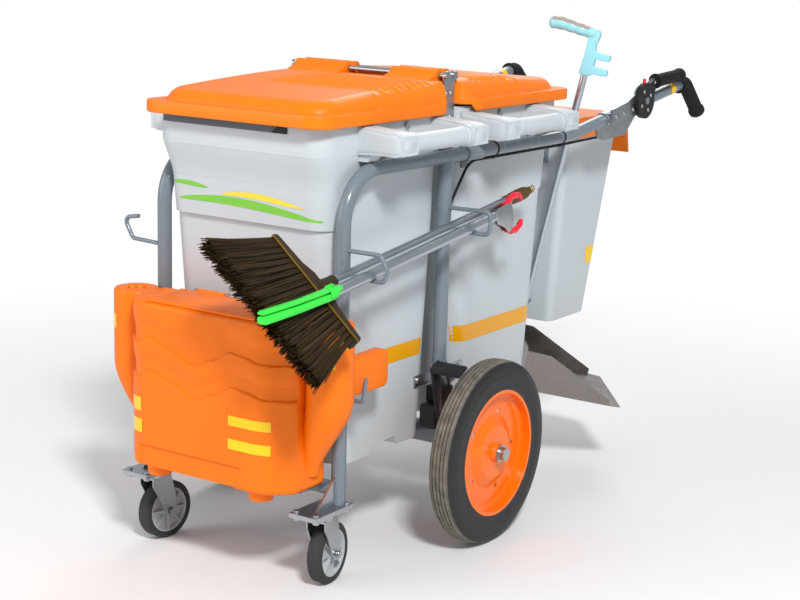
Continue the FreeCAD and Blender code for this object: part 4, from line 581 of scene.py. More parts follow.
class CART_OT_bristles(bpy.types.Operator):
    """Plants the broom's bristles in tufts with geometry nodes"""
    bl_idname = "cart.bristles"
    bl_label = "Bristles"

    def execute(self, context):
        bm = bmesh.new()
        bmesh.ops.create_grid(bm, x_segments=1, y_segments=1, size=0.5)
        wide, deep = 0.250, 0.024   # the face of the stock that holds them
        for vert in bm.verts:
            vert.co = Vector((vert.co.x * wide, 0, vert.co.y * deep))
        base = bpy.data.meshes.new("bristle_holes")
        bm.to_mesh(base)
        bm.free()
        obj = bpy.data.objects.new("bristle_strands", base)
        context.collection.objects.link(obj)
        tree = bpy.data.node_groups.new("bristles", "GeometryNodeTree")
        sockets = {}
        for name, kind, default in (("Geometry", "NodeSocketGeometry", None), ("Count", "NodeSocketFloat", 5000.0),
                                    ("Length", "NodeSocketFloat", 0.150), ("Thickness", "NodeSocketFloat", 0.0007),
                                    ("Flare", "NodeSocketFloat", 0.36), ("Bend", "NodeSocketFloat", 0.013)):
            socket = tree.interface.new_socket(name, in_out="INPUT", socket_type=kind)
            if default is not None:
                socket.default_value = default
            sockets[name] = socket.identifier
        tree.interface.new_socket("Geometry", in_out="OUTPUT", socket_type="NodeSocketGeometry")
        given = add(tree, "NodeGroupInput").outputs
        product, ratio = {"operation": "MULTIPLY"}, {"operation": "DIVIDE"}
        density = add(tree, "ShaderNodeMath", ratio, _0=given["Count"], _1=wide * deep).outputs[0]
        points = add(tree, "GeometryNodeDistributePointsOnFaces", Mesh=given["Geometry"], Density=density,
                     Seed=7).outputs[0]
        spot = add(tree, "GeometryNodeInputPosition").outputs[0]
        tuft = add(tree, "ShaderNodeVectorMath", {"operation": "SNAP"}, _0=spot,
                   _1=(0.0125, 1.0, 0.0085)).outputs[0]
        drawn = add(tree, "ShaderNodeMix", {"data_type": "VECTOR"}, _0=0.22, _4=spot, _5=tuft).outputs[1]
        moved = add(tree, "GeometryNodeSetPosition", Geometry=points, Position=drawn).outputs[0]
        root = add(tree, "GeometryNodeStoreNamedAttribute", {"data_type": "FLOAT_VECTOR"}, Geometry=moved, Name="root",
                   Value=spot).outputs[0]
        tone = add(tree, "FunctionNodeRandomValue", {"data_type": "FLOAT"}, Seed=3).outputs[1]
        toned = add(tree, "GeometryNodeStoreNamedAttribute", {"data_type": "FLOAT"}, Geometry=root, Name="tone",
                    Value=tone).outputs[0]
        line = add(tree, "GeometryNodeCurvePrimitiveLine", End=(0, -1, 0)).outputs[0]
        fine = add(tree, "GeometryNodeResampleCurve", Curve=line, Count=5).outputs[0]
        loop = add(tree, "GeometryNodeCurvePrimitiveCircle", Resolution=3, Radius=given["Thickness"]).outputs[0]
        blade = add(tree, "GeometryNodeCurveToMesh", Curve=fine, Profile_Curve=loop).outputs[0]
        longer = add(tree, "FunctionNodeRandomValue", {"data_type": "FLOAT"}, _2=0.90, _3=1.04, Seed=5).outputs[1]
        length = add(tree, "ShaderNodeMath", product, _0=longer, _1=given["Length"]).outputs[0]
        scale = add(tree, "ShaderNodeCombineXYZ", X=1.0, Y=length, Z=1.0).outputs[0]
        planted = add(tree, "GeometryNodeInstanceOnPoints", Points=toned, Instance=blade, Scale=scale).outputs[0]
        real = add(tree, "GeometryNodeRealizeInstances", Geometry=planted).outputs[0]
        kept_root = add(tree, "GeometryNodeInputNamedAttribute", {"data_type": "FLOAT_VECTOR"}, Name="root").outputs[0]
        here = add(tree, "GeometryNodeInputPosition").outputs[0]
        drop = add(tree, "ShaderNodeSeparateXYZ", Vector=here).outputs[1]
        below = add(tree, "ShaderNodeMath", product, _0=drop, _1=-1.0).outputs[0]
        depth = add(tree, "ShaderNodeMath", ratio, _0=below, _1=given["Length"]).outputs[0]
        # each strand bends its own way, more and more towards its tip
        swirl = add(tree, "ShaderNodeTexNoise", Vector=kept_root, Scale=170.0, Detail=2.0).outputs["Color"]
        aside = add(tree, "ShaderNodeVectorMath", {"operation": "SUBTRACT"}, _0=swirl,
                    _1=(0.5, 0.5, 0.5)).outputs[0]
        squared = add(tree, "ShaderNodeMath", product, _0=depth, _1=depth).outputs[0]
        most = add(tree, "ShaderNodeMath", product, _0=given["Bend"], _1=4.0).outputs[0]
        share = add(tree, "ShaderNodeMath", product, _0=squared, _1=most).outputs[0]
        bend = add(tree, "ShaderNodeVectorMath", {"operation": "SCALE"}, _0=aside, Scale=share).outputs[0]
        bend = add(tree, "ShaderNodeVectorMath", product, _0=bend, _1=(1.0, 0.25, 0.8)).outputs[0]
        # and all of them fan out from the stock
        outward = add(tree, "ShaderNodeVectorMath", product, _0=kept_root, _1=(1.0, 0.0, 0.9)).outputs[0]
        spread = add(tree, "ShaderNodeMath", {"operation": "POWER"}, _0=depth, _1=1.08).outputs[0]
        spread = add(tree, "ShaderNodeMath", product, _0=spread, _1=given["Flare"]).outputs[0]
        fan = add(tree, "ShaderNodeVectorMath", {"operation": "SCALE"}, _0=outward, Scale=spread).outputs[0]
        shifted = add(tree, "ShaderNodeVectorMath", {"operation": "ADD"}, _0=bend, _1=fan).outputs[0]
        bent = add(tree, "GeometryNodeSetPosition", Geometry=real, Offset=shifted).outputs[0]
        dressed = add(tree, "GeometryNodeSetMaterial", Geometry=bent, Material=bristle_fibre()).outputs[0]
        add(tree, "NodeGroupOutput", Geometry=dressed)
        grown = obj.modifiers.new("bristles", "NODES")
        grown.node_group = tree
        grown[sockets["Count"]] = float(context.scene.cart_sizes.bristles)
        settle(obj)
        obj.data.transform(BROOM @ Matrix.Translation((0, -0.145, 0)))
        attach(obj, "broom")
        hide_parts("broom_bristles")
        return {"FINISHED"}


# The tools lie tilted in the hooks; the broom's head is also rolled about its handle
TILT = Matrix.Rotation(math.radians(7.4), 4, "X")
BROOM = Matrix.Translation(at(262, -393, 643)) @ TILT @ Matrix.Rotation(math.radians(44.7), 4, "Y")
HANDLE_OF_BROOM = Matrix.Translation(at(262, -393, 643)) @ TILT
PICKER = Matrix.Translation(at(305, -393, 644)) @ TILT


def bristle_fibre():
    """Split palmyra fibre: dark brown strands, each its own shade."""
    made, tree = blank("palmyra_fibre")
    tone = add(tree, "ShaderNodeAttribute", {"attribute_name": "tone"}).outputs["Fac"]
    colour = add(tree, "ShaderNodeMix", {"data_type": "RGBA"}, _0=tone, _6=linear("#171006"),
                 _7=linear("#4E3812")).outputs[2]
    shader = add(tree, "ShaderNodeBsdfPrincipled", Base_Color=colour, Roughness=0.55)
    add(tree, "ShaderNodeOutputMaterial", Surface=shader.outputs[0])
    return made


FILM_GAP = 0.5   # between a wall and a film that is stuck to it, in millimetres


def corner_swell(into):
    """How far a bin's round corner still stands out at that depth into it."""
    return math.sqrt(max(0.0, BIN_CORNER ** 2 - into * into))


def bin_side(away, z):
    """Half width of a bin at that distance from the middle plane, with its round corners."""
    t = (z - 225) / (712 - 225)
    near, far = 70 - 36 * t, 374 + 50 * t
    return 160 + corner_swell(max(near + BIN_CORNER - away, away - far + BIN_CORNER, 0))


def bin_front(x, z):
    """Distance of the front bin's outer wall from the middle plane, with its round corners."""
    return 432 + 18 * (z - 712) / 146 - BIN_CORNER + corner_swell(max(0.0, abs(x) - 160))


class CART_OT_films(bpy.types.Operator):
    """Lays reflective tape and plain coloured bands on the bins"""
    bl_idname = "cart.films"
    bl_label = "Tape and bands"

    def execute(self, context):
        bm = bmesh.new()
        for sign, near, far, low, high in ((-1, 92, 274, 408, 443), (1, 62, 369, 401, 438)):
            rows = []
            for k in range(5):
                z = low + (high - low) * k / 4
                lean = (z - low) * 0.10
                spans = [near - lean + (far + lean - near + lean) * i / 48 for i in range(49)]
                rows.append([at(bin_side(a, z) + FILM_GAP, PAIR_Y + sign * a, z) for a in spans])
            for side in (1, -1):
                sheet(bm, [[Vector((p.x * side, p.y, p.z)) for p in row] for row in rows])
        joined(bm, "bin_tape", ["reflective_tape_amber"], "frame")

        bm = bmesh.new()
        for side in (1, -1):
            rows = []
            for z in (477, 498, 519):
                back = 772 + 136 * (z - 352) / 460
                run = [762 + (back - 764) * i / 10 for i in range(11)]
                rows.append([at(side * (130.5 + math.sqrt(max(0, 400 - max(0, y - back + 20) ** 2))), y, z)
                             for y in run])
            sheet(bm, rows)
        joined(bm, "small_bin_tape", ["reflective_tape_yellow"], "frame")

        bm = bmesh.new()
        for mat, start, end, middle, swell, wide in ((0, -172, 188, 736, 13, 9), (1, -60, 150, 757, 9, 6),
                                                     (0, -188, -90, 772, 4, 5)):
            rows = []
            for edge in (-1, 0, 1):
                row = []
                for t in (i / 60 for i in range(61)):
                    x = start + (end - start) * t
                    arch = swell * math.cos(math.pi * (t - 0.35))
                    z = middle + arch + edge * wide * math.sin(math.pi * min(t, 0.97)) ** 0.6
                    row.append(at(x, PAIR_Y - bin_front(x, z) - FILM_GAP, z))
                rows.append(row)
            sheet(bm, rows, mat)
        joined(bm, "bin_bands", ["vinyl_film_green", "vinyl_film_yellow"], "frame")
        return {"FINISHED"}


def even_path(points, spacing):
    """The same run with points at an even spacing, in metres, and the distance of each from its start."""
    path, gone = [points[0]], [0.0]
    for a, b in zip(points, points[1:]):
        parts = max(1, round((b - a).length / spacing))
        for k in range(1, parts + 1):
            path.append(a.lerp(b, k / parts))
            gone.append(gone[-1] + (b - a).length / parts)
    return path, gone


def rounded_end(left, reach, least):
    """Factor that rounds a bar off over the reach before its end, with that much of it left, in metres."""
    if left >= reach:
        return 1.0
    return math.sqrt(max(least, 1 - ((reach - left) / (reach + 0.0002)) ** 2))


def ribbed_grip(bm, points, radius, flange, pitch=0.0062):
    """A rubber grip pulled over a tube: a flange at its mouth, finger ribs, and a rounded end."""
    path, gone = even_path(points, 0.0009)
    total = gone[-1]
    radii = []
    for d in gone:
        r = radius - 0.0014 * ease((math.cos(2 * math.pi * d / pitch) - 0.1) / 0.5)
        if d < 0.012 or d > total - 0.014:
            r = radius
        r += (flange - radius) * (ease((0.005 - d) / 0.0016) + 0.75 * ease((0.006 - abs(total - 0.010 - d)) / 0.002))
        radii.append(r * rounded_end(total - d, 0.006, 0.05))
    tube(bm, path, radii, 28)


class CART_OT_grips(bpy.types.Operator):
    """Moulds the ribbed grips of the handle tubes and of the brake lever"""
    bl_idname = "cart.grips"
    bl_label = "Grips"

    def execute(self, context):
        elbow, end, rail = Vector((255, 1064, 925)), Vector((255, 1156, 842)), Vector((229, 500, 829))
        rise, drop = (elbow - rail).normalized(), (end - elbow).normalized()
        for side, name in ((1, "left"), (-1, "right")):
            bm = bmesh.new()
            run = [elbow - rise * 34, elbow, end + drop * 4]
            ribbed_grip(bm, rounded_path([at(side * p.x, p.y, p.z) for p in run], 0.042, 14), 0.0185, 0.0225)
            joined(bm, "hand_grip_%s_rubber" % name, ["vulcanised_rubber_black"], "frame", ("hand_grip_" + name,),
                   angle=60)
        bm = bmesh.new()
        start = Vector((270.3, 861, 940))
        along = Vector((0, 147, 8)).normalized()
        ribbed_grip(bm, [at(*start), at(*(start + along * 147))], 0.0160, 0.0185, 0.0085)
        joined(bm, "lever_grip_rubber", ["vulcanised_rubber_black"], "brake_lever", ("lever_grip",), angle=60)
        bm = bmesh.new()
        for side in (1, -1):
            path = [at(side * p.x, p.y, p.z) for p in (elbow - rise * 92, elbow - rise * 70)]
            tube(bm, path, [0.0153, 0.0153], 32)
        joined(bm, "handle_tape", ["reflective_tape_yellow"], "frame", angle=50)
        return {"FINISHED"}


class CART_OT_picker(bpy.types.Operator):
    """Shapes the litter picker's two dipped handles"""
    bl_idname = "cart.picker"
    bl_label = "Litter picker"

    def handle(self, name, run, radii, body, stands_for):
        bm = bmesh.new()
        path, gone = even_path(rounded_path([mm(0, y, z) for y, z in run], 0.05, 6), 0.0025)
        total = gone[-1]
        tube(bm, path, [rounded_end(total - d, 0.005, 0.06)
                        * (radii[0] + (radii[1] - radii[0]) * ease(d / total) + 0.0008 * math.sin(d * 330))
                        for d in gone], 20)
        bmesh.ops.transform(bm, matrix=PICKER, verts=bm.verts)
        joined(bm, name, ["dipped_vinyl_red"], body, stands_for, angle=60)

    def execute(self, context):
        self.handle("picker_handle_dipped", [(488, -38), (508, -50), (530, -52), (547, -45), (555, -34)],
                    (0.0072, 0.0062), "litter_picker", ("picker_handle",))
        self.handle("picker_trigger_dipped", [(486, 10), (508, 24), (531, 27), (549, 20), (556, 9)],
                    (0.0070, 0.0060), "picker_trigger", ("picker_trigger",))
        return {"FINISHED"}


class CART_OT_rivets(bpy.types.Operator):
    """Sets domed rivet heads on the brackets and the lever with geometry nodes"""
    bl_idname = "cart.rivets"
    bl_label = "Rivets"

    def sown(self, name, spots, body, radius):
        base = bpy.data.meshes.new(name)
        base.from_pydata([at(*place) for place, facing in spots], [], [])
        facing = base.attributes.new("facing", "FLOAT_VECTOR", "POINT")
        for item, (place, out) in zip(facing.data, spots):
            item.vector = out
        obj = bpy.data.objects.new(name, base)
        bpy.context.collection.objects.link(obj)
        tree = bpy.data.node_groups.new(name, "GeometryNodeTree")
        tree.interface.new_socket("Geometry", in_out="INPUT", socket_type="NodeSocketGeometry")
        size = tree.interface.new_socket("Radius", in_out="INPUT", socket_type="NodeSocketFloat")
        tree.interface.new_socket("Geometry", in_out="OUTPUT", socket_type="NodeSocketGeometry")
        given = add(tree, "NodeGroupInput").outputs
        points = add(tree, "GeometryNodeMeshToPoints", Mesh=given["Geometry"]).outputs[0]
        ball = add(tree, "GeometryNodeMeshUVSphere", Segments=14, Rings=8, Radius=1.0).outputs[0]
        flat = add(tree, "GeometryNodeTransform", Geometry=ball, Scale=(1.0, 1.0, 0.55)).outputs[0]
        washer = add(tree, "GeometryNodeMeshCylinder", Vertices=18, Radius=1.35, Depth=0.3).outputs[0]
        both = add(tree, "GeometryNodeJoinGeometry")
        for part in (flat, washer):
            tree.links.new(part, both.inputs[0])
        out = add(tree, "GeometryNodeInputNamedAttribute", {"data_type": "FLOAT_VECTOR"}, Name="facing").outputs[0]
        turn = add(tree, "FunctionNodeAlignRotationToVector", {"axis": "Z"}, Vector=out).outputs[0]
        placed = add(tree, "GeometryNodeInstanceOnPoints", Points=points, Instance=both.outputs[0], Rotation=turn,
                     Scale=given["Radius"]).outputs[0]
        real = add(tree, "GeometryNodeRealizeInstances", Geometry=placed).outputs[0]
        smooth = add(tree, "GeometryNodeSetShadeSmooth", Geometry=real, Shade_Smooth=True).outputs[0]
        dressed = add(tree, "GeometryNodeSetMaterial", Geometry=smooth,
                      Material=finish("bright_zinc_plate")).outputs[0]
        add(tree, "NodeGroupOutput", Geometry=dressed)
        grown = obj.modifiers.new("rivets", "NODES")
        grown.node_group = tree
        grown[size.identifier] = radius
        settle(obj)
        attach(obj, body)

    def execute(self, context):
        out = (1.0, 0.0, 0.0)
        self.sown("lever_rivets", [((276.4, 806 + 26 * math.cos(a), 895 + 26 * math.sin(a)), out)
                                   for a in (0.5, 2.1, 3.6, 5.2)] + [((276.4, 850, 938), out)], "brake_lever", 0.0036)
        self.sown("bracket_rivets", [((264.2, y, z), out) for y, z in ((672, 864), (712, 870), (760, 876))], "frame",
                  0.004)
        spots = []
        for side in (-1, 1):
            places = [(102.6, 606, z) for z in (760, 784)]
            places += [(198.2, y, z) for z in (850, 905, 955) for y in (12, 28)]
            spots += [((side * x, y, z), (side, 0.0, 0.0)) for x, y, z in places]
        self.sown("plate_rivets", spots, "frame", 0.0042)
        return {"FINISHED"}


class CART_OT_broom(bpy.types.Operator):
    """Shapes the broom's thin stock, its socket, and the ribbed brown grip with its hanging ring"""
    bl_idname = "cart.broom"
    bl_label = "Broom"

    def execute(self, context):
        bm = bmesh.new()
        outline = [(-129, -146), (129, -146), (131, -138), (127, -130), (56, -125), (28, -116), (-28, -116),
                   (-56, -125), (-127, -130), (-131, -138)]
        slab(bm, BROOM, outline, (-13, 13), "Z")
        joined(bm, "broom_stock", ["stained_beech"], "broom", ("broom_head",), bevel=0.0025, angle=25)
        bm = bmesh.new()
        turned(bm, [(-0.012, 0), (-0.012, 0.0150), (0.0, 0.0160), (0.006, 0.0148), (0.034, 0.0128), (0.036, 0.0135),
                    (0.041, 0.0135), (0.042, 0.0102), (-0.012, 0)], BROOM @ mm(0, -118, 0),
               BROOM.to_3x3() @ Vector((0, 1, 0)), 36)
        joined(bm, "broom_socket", ["stained_beech"], "broom", angle=50)
        bm = bmesh.new()
        for z in (-13.4, 13.4):
            slab(bm, BROOM, ((-130, -147.5), (130, -147.5), (130, -142.5), (-130, -142.5)), (z - 0.8, z + 0.8), "Z")
        joined(bm, "broom_edging", ["turned_brass"], "broom")
        bm = bmesh.new()
        path, gone = even_path([HANDLE_OF_BROOM @ mm(0, y, 0) for y in (568, 664)], 0.0012)
        radii = []
        for d in gone:
            swell = 0.0118 + 0.0026 * math.sin(math.pi * min(1, d / 0.096)) - 0.004 * ease((d - 0.070) / 0.026)
            radii.append(swell - 0.0009 * ease(math.cos(2 * math.pi * d / 0.006)))
        tube(bm, path, radii, 26)
        joined(bm, "broom_grip_ribbed", ["phenolic_brown"], "broom", ("broom_grip",), angle=60)
        bm = bmesh.new()
        turn = HANDLE_OF_BROOM.to_3x3()
        for start, length, r in ((560, 0.010, 0.0125), (663, 0.005, 0.0085)):
            turned(bm, [(0, 0), (0, r - 0.001), (0.001, r), (length - 0.001, r), (length, r - 0.001), (length, 0)],
                   HANDLE_OF_BROOM @ mm(0, start, 0), turn @ Vector((0, 1, 0)), 32)
        rings = []
        for t in (2 * math.pi * k / 28 for k in range(28)):
            out = turn @ Vector((0, math.cos(t), math.sin(t)))
            spot = HANDLE_OF_BROOM @ mm(0, 678, 0) + out * 0.0078
            rings.append([spot + (out * math.cos(a) + turn @ Vector((1, 0, 0)) * math.sin(a)) * 0.0014
                          for a in (2 * math.pi * k / 10 for k in range(10))])
        loft(bm, rings + rings[:1], ends=(False, False))
        joined(bm, "broom_rings", ["turned_brass"], "broom", angle=50)
        return {"FINISHED"}


class CART_OT_jaws(bpy.types.Operator):
    """Moulds the litter picker's two green jaws and its fan-shaped handle plates"""
    bl_idname = "cart.jaws"
    bl_label = "Jaws"

    def plates(self, name, outline, spans, finish_name, body, stands_for=(), bevel=0.0015):
        bm = bmesh.new()
        for span in spans:
            slab(bm, PICKER, outline, span)
        joined(bm, name, [finish_name], body, stands_for, bevel=bevel, angle=25)

    def execute(self, context):
        green, zinc = "nylon_fluorescent_green", "bright_zinc_plate"
        self.plates("picker_lower_jaw",
                    [(-118, -9), (-118, 1), (-150, 3), (-245, 8.4), (-345, 18.4), (-350, 16.5), (-350, 6), (-343, 2),
                     (-245, -6), (-140, -11)], ((-8, 8),), green, "litter_picker", ("picker_fixed_jaw",), 0.003)
        self.plates("picker_cheeks", [(-152, -5), (-152, 10), (-144, 15), (-126, 15), (-117, 10), (-117, -5)],
                    ((-10.5, -7.6), (7.6, 10.5)), green, "litter_picker", bevel=0.001)
        self.plates("picker_upper_jaw",
                    [(-131, 5.2), (-131, 11), (-140, 13), (-245, 18.5), (-342, 28), (-349, 25), (-348, 21.6),
                     (-245, 12)], ((-7.5, 7.5),), green, "picker_jaw", ("picker_jaw",), 0.0018)
        self.plates("picker_fan_plates",
                    [(438, 12), (444, 17), (484, 19), (500, 14), (505, 2), (508, -22), (500, -42), (488, -46),
                     (470, -30), (442, -16)],
                    ((-9, -6.6), (6.6, 9)), zinc, "litter_picker", ("picker_plates",), 0.0006)
        self.plates("picker_spine", [(440, -10), (440, 10), (468, 10), (468, -12)], ((-6.5, 6.5),), zinc,
                    "litter_picker", bevel=0.0006)
        return {"FINISHED"}


COMB = (Matrix.Translation(at(97, 525, 331))
        @ Matrix(((.6421, .7423, .1912), (-.7640, .6404, .0794), (-.0635, -.1971, .9783))).to_4x4()
        @ Matrix.Rotation(math.radians(-23), 4, "Z"))


class CART_OT_comb(bpy.types.Operator):
    """Moulds the dustpan's hand grip, with the two teeth that comb the broom"""
    bl_idname = "cart.comb"
    bl_label = "Dustpan grip"

    def execute(self, context):
        bm = bmesh.new()
        outline = [(-14, 650), (14, 650), (16, 656), (50, 658), (53, 661), (53, 671), (50, 674), (17, 675), (17, 692),
                   (48, 693), (51, 696), (51, 706), (48, 709), (13, 710), (10, 726), (13, 733), (15, 752), (9, 759),
                   (-4, 760), (-12, 748), (-12, 728), (-11, 700)]
        slab(bm, COMB, outline, (-9, 9))
        joined(bm, "comb_body", ["abs_pale_aqua"], "dustpan", ("dustpan_comb",), bevel=0.003, angle=25)
        bm = bmesh.new()
        run = [mm(0, y, z) for y, z in ((0, 748), (-40, 750), (-82, 753), (-113, 749))]
        path, gone = even_path(rounded_path(run, 0.06, 8), 0.0015)
        total = gone[-1]
        radii = [rounded_end(total - d, 0.011, 0.03)
                 * (0.0125 + 0.0022 * ease(d / total) - 0.0007 * math.cos(2 * math.pi * d / 0.024)) for d in gone]
        tube(bm, [COMB @ p for p in path], radii, 28)
        joined(bm, "comb_grip", ["abs_pale_aqua"], "dustpan", angle=60)
        bm = bmesh.new()
        rows = []
        for p, r, d in zip(path, radii, gone):
            if 0.014 < d < total - 0.004:
                rows.append([COMB @ (p + Vector((math.sin(a), 0, math.cos(a))) * (r + 0.0006))
                             for a in [math.radians(-62 + 124 * k / 12) for k in range(13)]])
        sheet(bm, rows)
        joined(bm, "comb_grip_pad", ["soft_grip_warm_grey"], "dustpan", angle=60)
        return {"FINISHED"}


class CART_OT_brake_shoe(bpy.types.Operator):
    """Shapes the black brake arm with its shoe against the tyre, and the rolled rim of the tool box's lid"""
    bl_idname = "cart.brake_shoe"
    bl_label = "Brake arm and box lid"

    def execute(self, context):
        bm = bmesh.new()
        prism(bm, [(-79, 274), (-75, 267), (-65, 267), (-61, 274), (-72, 393), (-77, 402), (-106, 389), (-102, 379)],
              (252.3, 258.3))
        shoe = [(-103, 378), (-70.5, 393.2), (-73, 399), (-80, 401), (-104, 390), (-106, 384)]
        prism(bm, shoe, (252.3, 324))
        turned(bm, [(0, 0), (0, 0.009), (0.003, 0.0095), (0.008, 0.0095), (0.0088, 0.0085), (0.0088, 0)],
               at(250.3, -70, 275), (1, 0, 0), 32)
        joined(bm, "brake_arm_and_shoe", ["stoved_black_steel"], "brake_arm", ("brake_arm",), bevel=0.0012, angle=30)
        bm = bmesh.new()
        plan = ((-139, -549), (139, -549), (143, -431), (-143, -431))
        loft(bm, [[at(x, y, z) for x, y in plan] for z in (550.1, 556.9)])
        joined(bm, "tool_box_lid_rim", [BOX_ORANGE], "tool_box_lid", bevel=0.0028, angle=25, loops=3)
        return {"FINISHED"}


class CART_OT_bin_collars(bpy.types.Operator):
    """Moulds each bin's collar, which swells softly out of the wall"""
    bl_idname = "cart.bin_collars"
    bl_label = "Bin collars"

    def execute(self, context):
        for sign, name in ((-1, "front"), (1, "rear")):
            bm = bmesh.new()
            outer, inner = [], []
            for z in (923, 905, 886) + tuple(range(872, 788, -5)):
                swell = ease((z - 790) / 82)
                wall = min(z, 858)
                far = 432.4 + 18 * (wall - 712) / 146 + 12 * swell
                near = 33.7 - 6 * (wall - 712) / 146 - 1.8 * swell
                half = 204.3 + 9.2 * swell
                for rings, inset in ((outer, 0), (inner, 1.5)):
                    plan = rounded_box(half - inset, near + inset, far - inset, BIN_CORNER - inset, 12)
                    rings.append([at(x, PAIR_Y + sign * away, z) for x, away in plan])
            loft(bm, outer + inner[::-1] + outer[:1], ends=(False, False))
            joined(bm, name + "_bin_collar", [BODY_GREY], "frame", angle=60)
        return {"FINISHED"}


# A handle lug, from the wall outwards: distance from the middle, lower and upper edge, extra reach to each side
LUG = ((209, 855, 916, 1), (222, 857.5, 914, 0.5), (246, 858.5, 911.5, 0), (276, 859, 909, 0), (300, 858.6, 908, 0),
       (314, 861, 905.5, -1.5), (321, 866, 901, -5), (324.5, 872, 895, -10))
BAR_X, BAR_Z = 300, 883


class CART_OT_bin_handles(bpy.types.Operator):
    """Moulds the soft-edged handle lugs over the bins' sides, their bars, and a dark band of painted shade under the
    front rim
    """
    bl_idname = "cart.bin_handles"
    bl_label = "Bin handles"

    def execute(self, context):
        for sign, name in ((-1, "front"), (1, "rear")):
            bm = bmesh.new()
            for side in (-1, 1):
                for low, high in ((38, 92), (298, 352)):
                    loft(bm, [[at(side * x, PAIR_Y + sign * a, z)
                               for a, z in self.soft(low - grow, high + grow, z0, z1)] for x, z0, z1, grow in LUG])
                turned(bm, [(0, 0), (0, 0.0196), (0.208, 0.0196), (0.208, 0)],
                       at(side * BAR_X, PAIR_Y + sign * 91, BAR_Z), (0, sign, 0), 40)
                for a in (91, 103, 287, 296):
                    turned(bm, [(0, 0), (0, 0.0202), (0.0012, 0.0216), (0.0028, 0.0216), (0.004, 0.0202), (0.004, 0)],
                           at(side * BAR_X, PAIR_Y + sign * a, BAR_Z), (0, sign, 0), 40)
            joined(bm, name + "_bin_handles", [BODY_GREY], "frame", angle=50)
        # painted shade: a slate band, black at its right end, laid on the front bin's wall under the rim, where the
        # lid's edge casts its shadow
        bm = bmesh.new()
        sheet(bm, [[at(x, PAIR_Y - (463 - BIN_CORNER + corner_swell(max(0, abs(x) - 169))) - 0.9, z)
                    for x in [reach * k / 60 - 192 for k in range(61)]] for z, reach in ((899, 278), (916.5, 298))])
        sheet(bm, [[at(x, -443.9, z) for x in span] for z, span in ((899, (87, 128)), (916.5, (107, 128)))], 1)
        joined(bm, "front_rim_painted_shade", ["slate_painted_shade", "glass_filled_nylon_black"], "frame")
        return {"FINISHED"}

    def soft(self, low, high, z0, z1):
        """A box with round corners in the lug's own plane."""
        radius = min(12, (high - low) / 2 - 0.5, (z1 - z0) / 2 - 0.5)
        return [point for arc in corner_arcs(low, high, z0, z1, radius, 6) for point in arc]


# The stage

class CART_OT_stage(bpy.types.Operator):
    """Makes the camera, the pale floor, and the soft lamps"""
    bl_idname = "cart.stage"
    bl_label = "Stage"

    def execute(self, context):
        azimuth, rise, roll = (math.radians(v) for v in (32.5, 12.7, 1.88))
        back = Vector((math.sin(azimuth) * math.cos(rise), -math.cos(azimuth) * math.cos(rise), math.sin(rise)))
        right = Vector((math.cos(azimuth), math.sin(azimuth), 0))
        up = back.cross(right)
        across, upward = right * math.cos(roll) + up * math.sin(roll), up * math.cos(roll) - right * math.sin(roll)
        camera = bpy.data.objects.new("camera", bpy.data.cameras.new("camera"))
        camera.matrix_world = Matrix((across, upward, back)).transposed().to_4x4()
        camera.location = at(2155.59, -3054.04, 1293.02)
        camera.data.lens, camera.data.sensor_width = 77.37, 36.0
        camera.data.shift_x, camera.data.shift_y = -0.0519, 0.0206
        context.collection.objects.link(camera)
        context.scene.camera = camera

        bm = bmesh.new()
        bmesh.ops.create_circle(bm, cap_ends=True, radius=40, segments=64)
        mesh = bpy.data.meshes.new("floor")
        bm.to_mesh(mesh)
        bm.free()
        floor = bpy.data.objects.new("floor", mesh)
        floor.location.z = -0.0005
        context.collection.objects.link(floor)
        made, tree = blank("studio_floor")
        place = add(tree, "ShaderNodeTexCoord").outputs["Object"]
        away = add(tree, "ShaderNodeVectorMath", {"operation": "LENGTH"}, _0=place).outputs["Value"]
        fade = add(tree, "ShaderNodeMapRange", {"interpolation_type": "SMOOTHSTEP"}, Value=away, From_Min=0.9,
                   From_Max=2.6)
        path = add(tree, "ShaderNodeLightPath")
        seen = add(tree, "ShaderNodeMath", {"operation": "MULTIPLY"}, _0=path.outputs["Is Camera Ray"],
                   _1=fade.outputs[0])
        matt = add(tree, "ShaderNodeBsdfDiffuse", Color=tuple(context.scene.cart_colours.floor) + (1.0,))
        white = add(tree, "ShaderNodeEmission", Color=(1, 1, 1, 1), Strength=1.0)
        mix = add(tree, "ShaderNodeMixShader", _0=seen.outputs[0], _1=matt.outputs[0], _2=white.outputs[0])
        add(tree, "ShaderNodeOutputMaterial", Surface=mix.outputs[0])
        floor.data.materials.append(made)

        world = bpy.data.worlds.new("studio")
        context.scene.world = world
        world.use_nodes = True
        tree = world.node_tree
        tree.nodes.clear()
        path = add(tree, "ShaderNodeLightPath")
        clear = add(tree, "ShaderNodeMath", {"operation": "MAXIMUM"}, _0=path.outputs["Is Camera Ray"],
                    _1=path.outputs["Is Transmission Ray"])
        plain = add(tree, "ShaderNodeBackground", Color=(0.95, 0.97, 1.0, 1), Strength=0.45)
        bright = add(tree, "ShaderNodeBackground", Color=(1, 1, 1, 1), Strength=1.0)
        mix = add(tree, "ShaderNodeMixShader", _0=clear.outputs[0], _1=plain.outputs[0], _2=bright.outputs[0])
        add(tree, "ShaderNodeOutputWorld", Surface=mix.outputs[0])
        for name, spot, size, power in (("key", (3.4, -3.4, 4.3), 0.8, 285), ("fill", (-3.2, -4.2, 2.2), 3.0, 75),
                                        ("back", (-1.5, 4.0, 3.6), 2.6, 80)):
            lamp = bpy.data.objects.new(name, bpy.data.lights.new(name, "AREA"))
            lamp.data.size, lamp.data.energy = size, power
            lamp.location = spot
            lamp.rotation_euler = (Vector((0, 0, 0.5)) - Vector(spot)).to_track_quat("-Z", "Y").to_euler()
            context.collection.objects.link(lamp)
        context.scene.view_settings.view_transform = "Standard"
        return {"FINISHED"}


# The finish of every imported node. Those that a new piece replaces keep theirs out of sight.

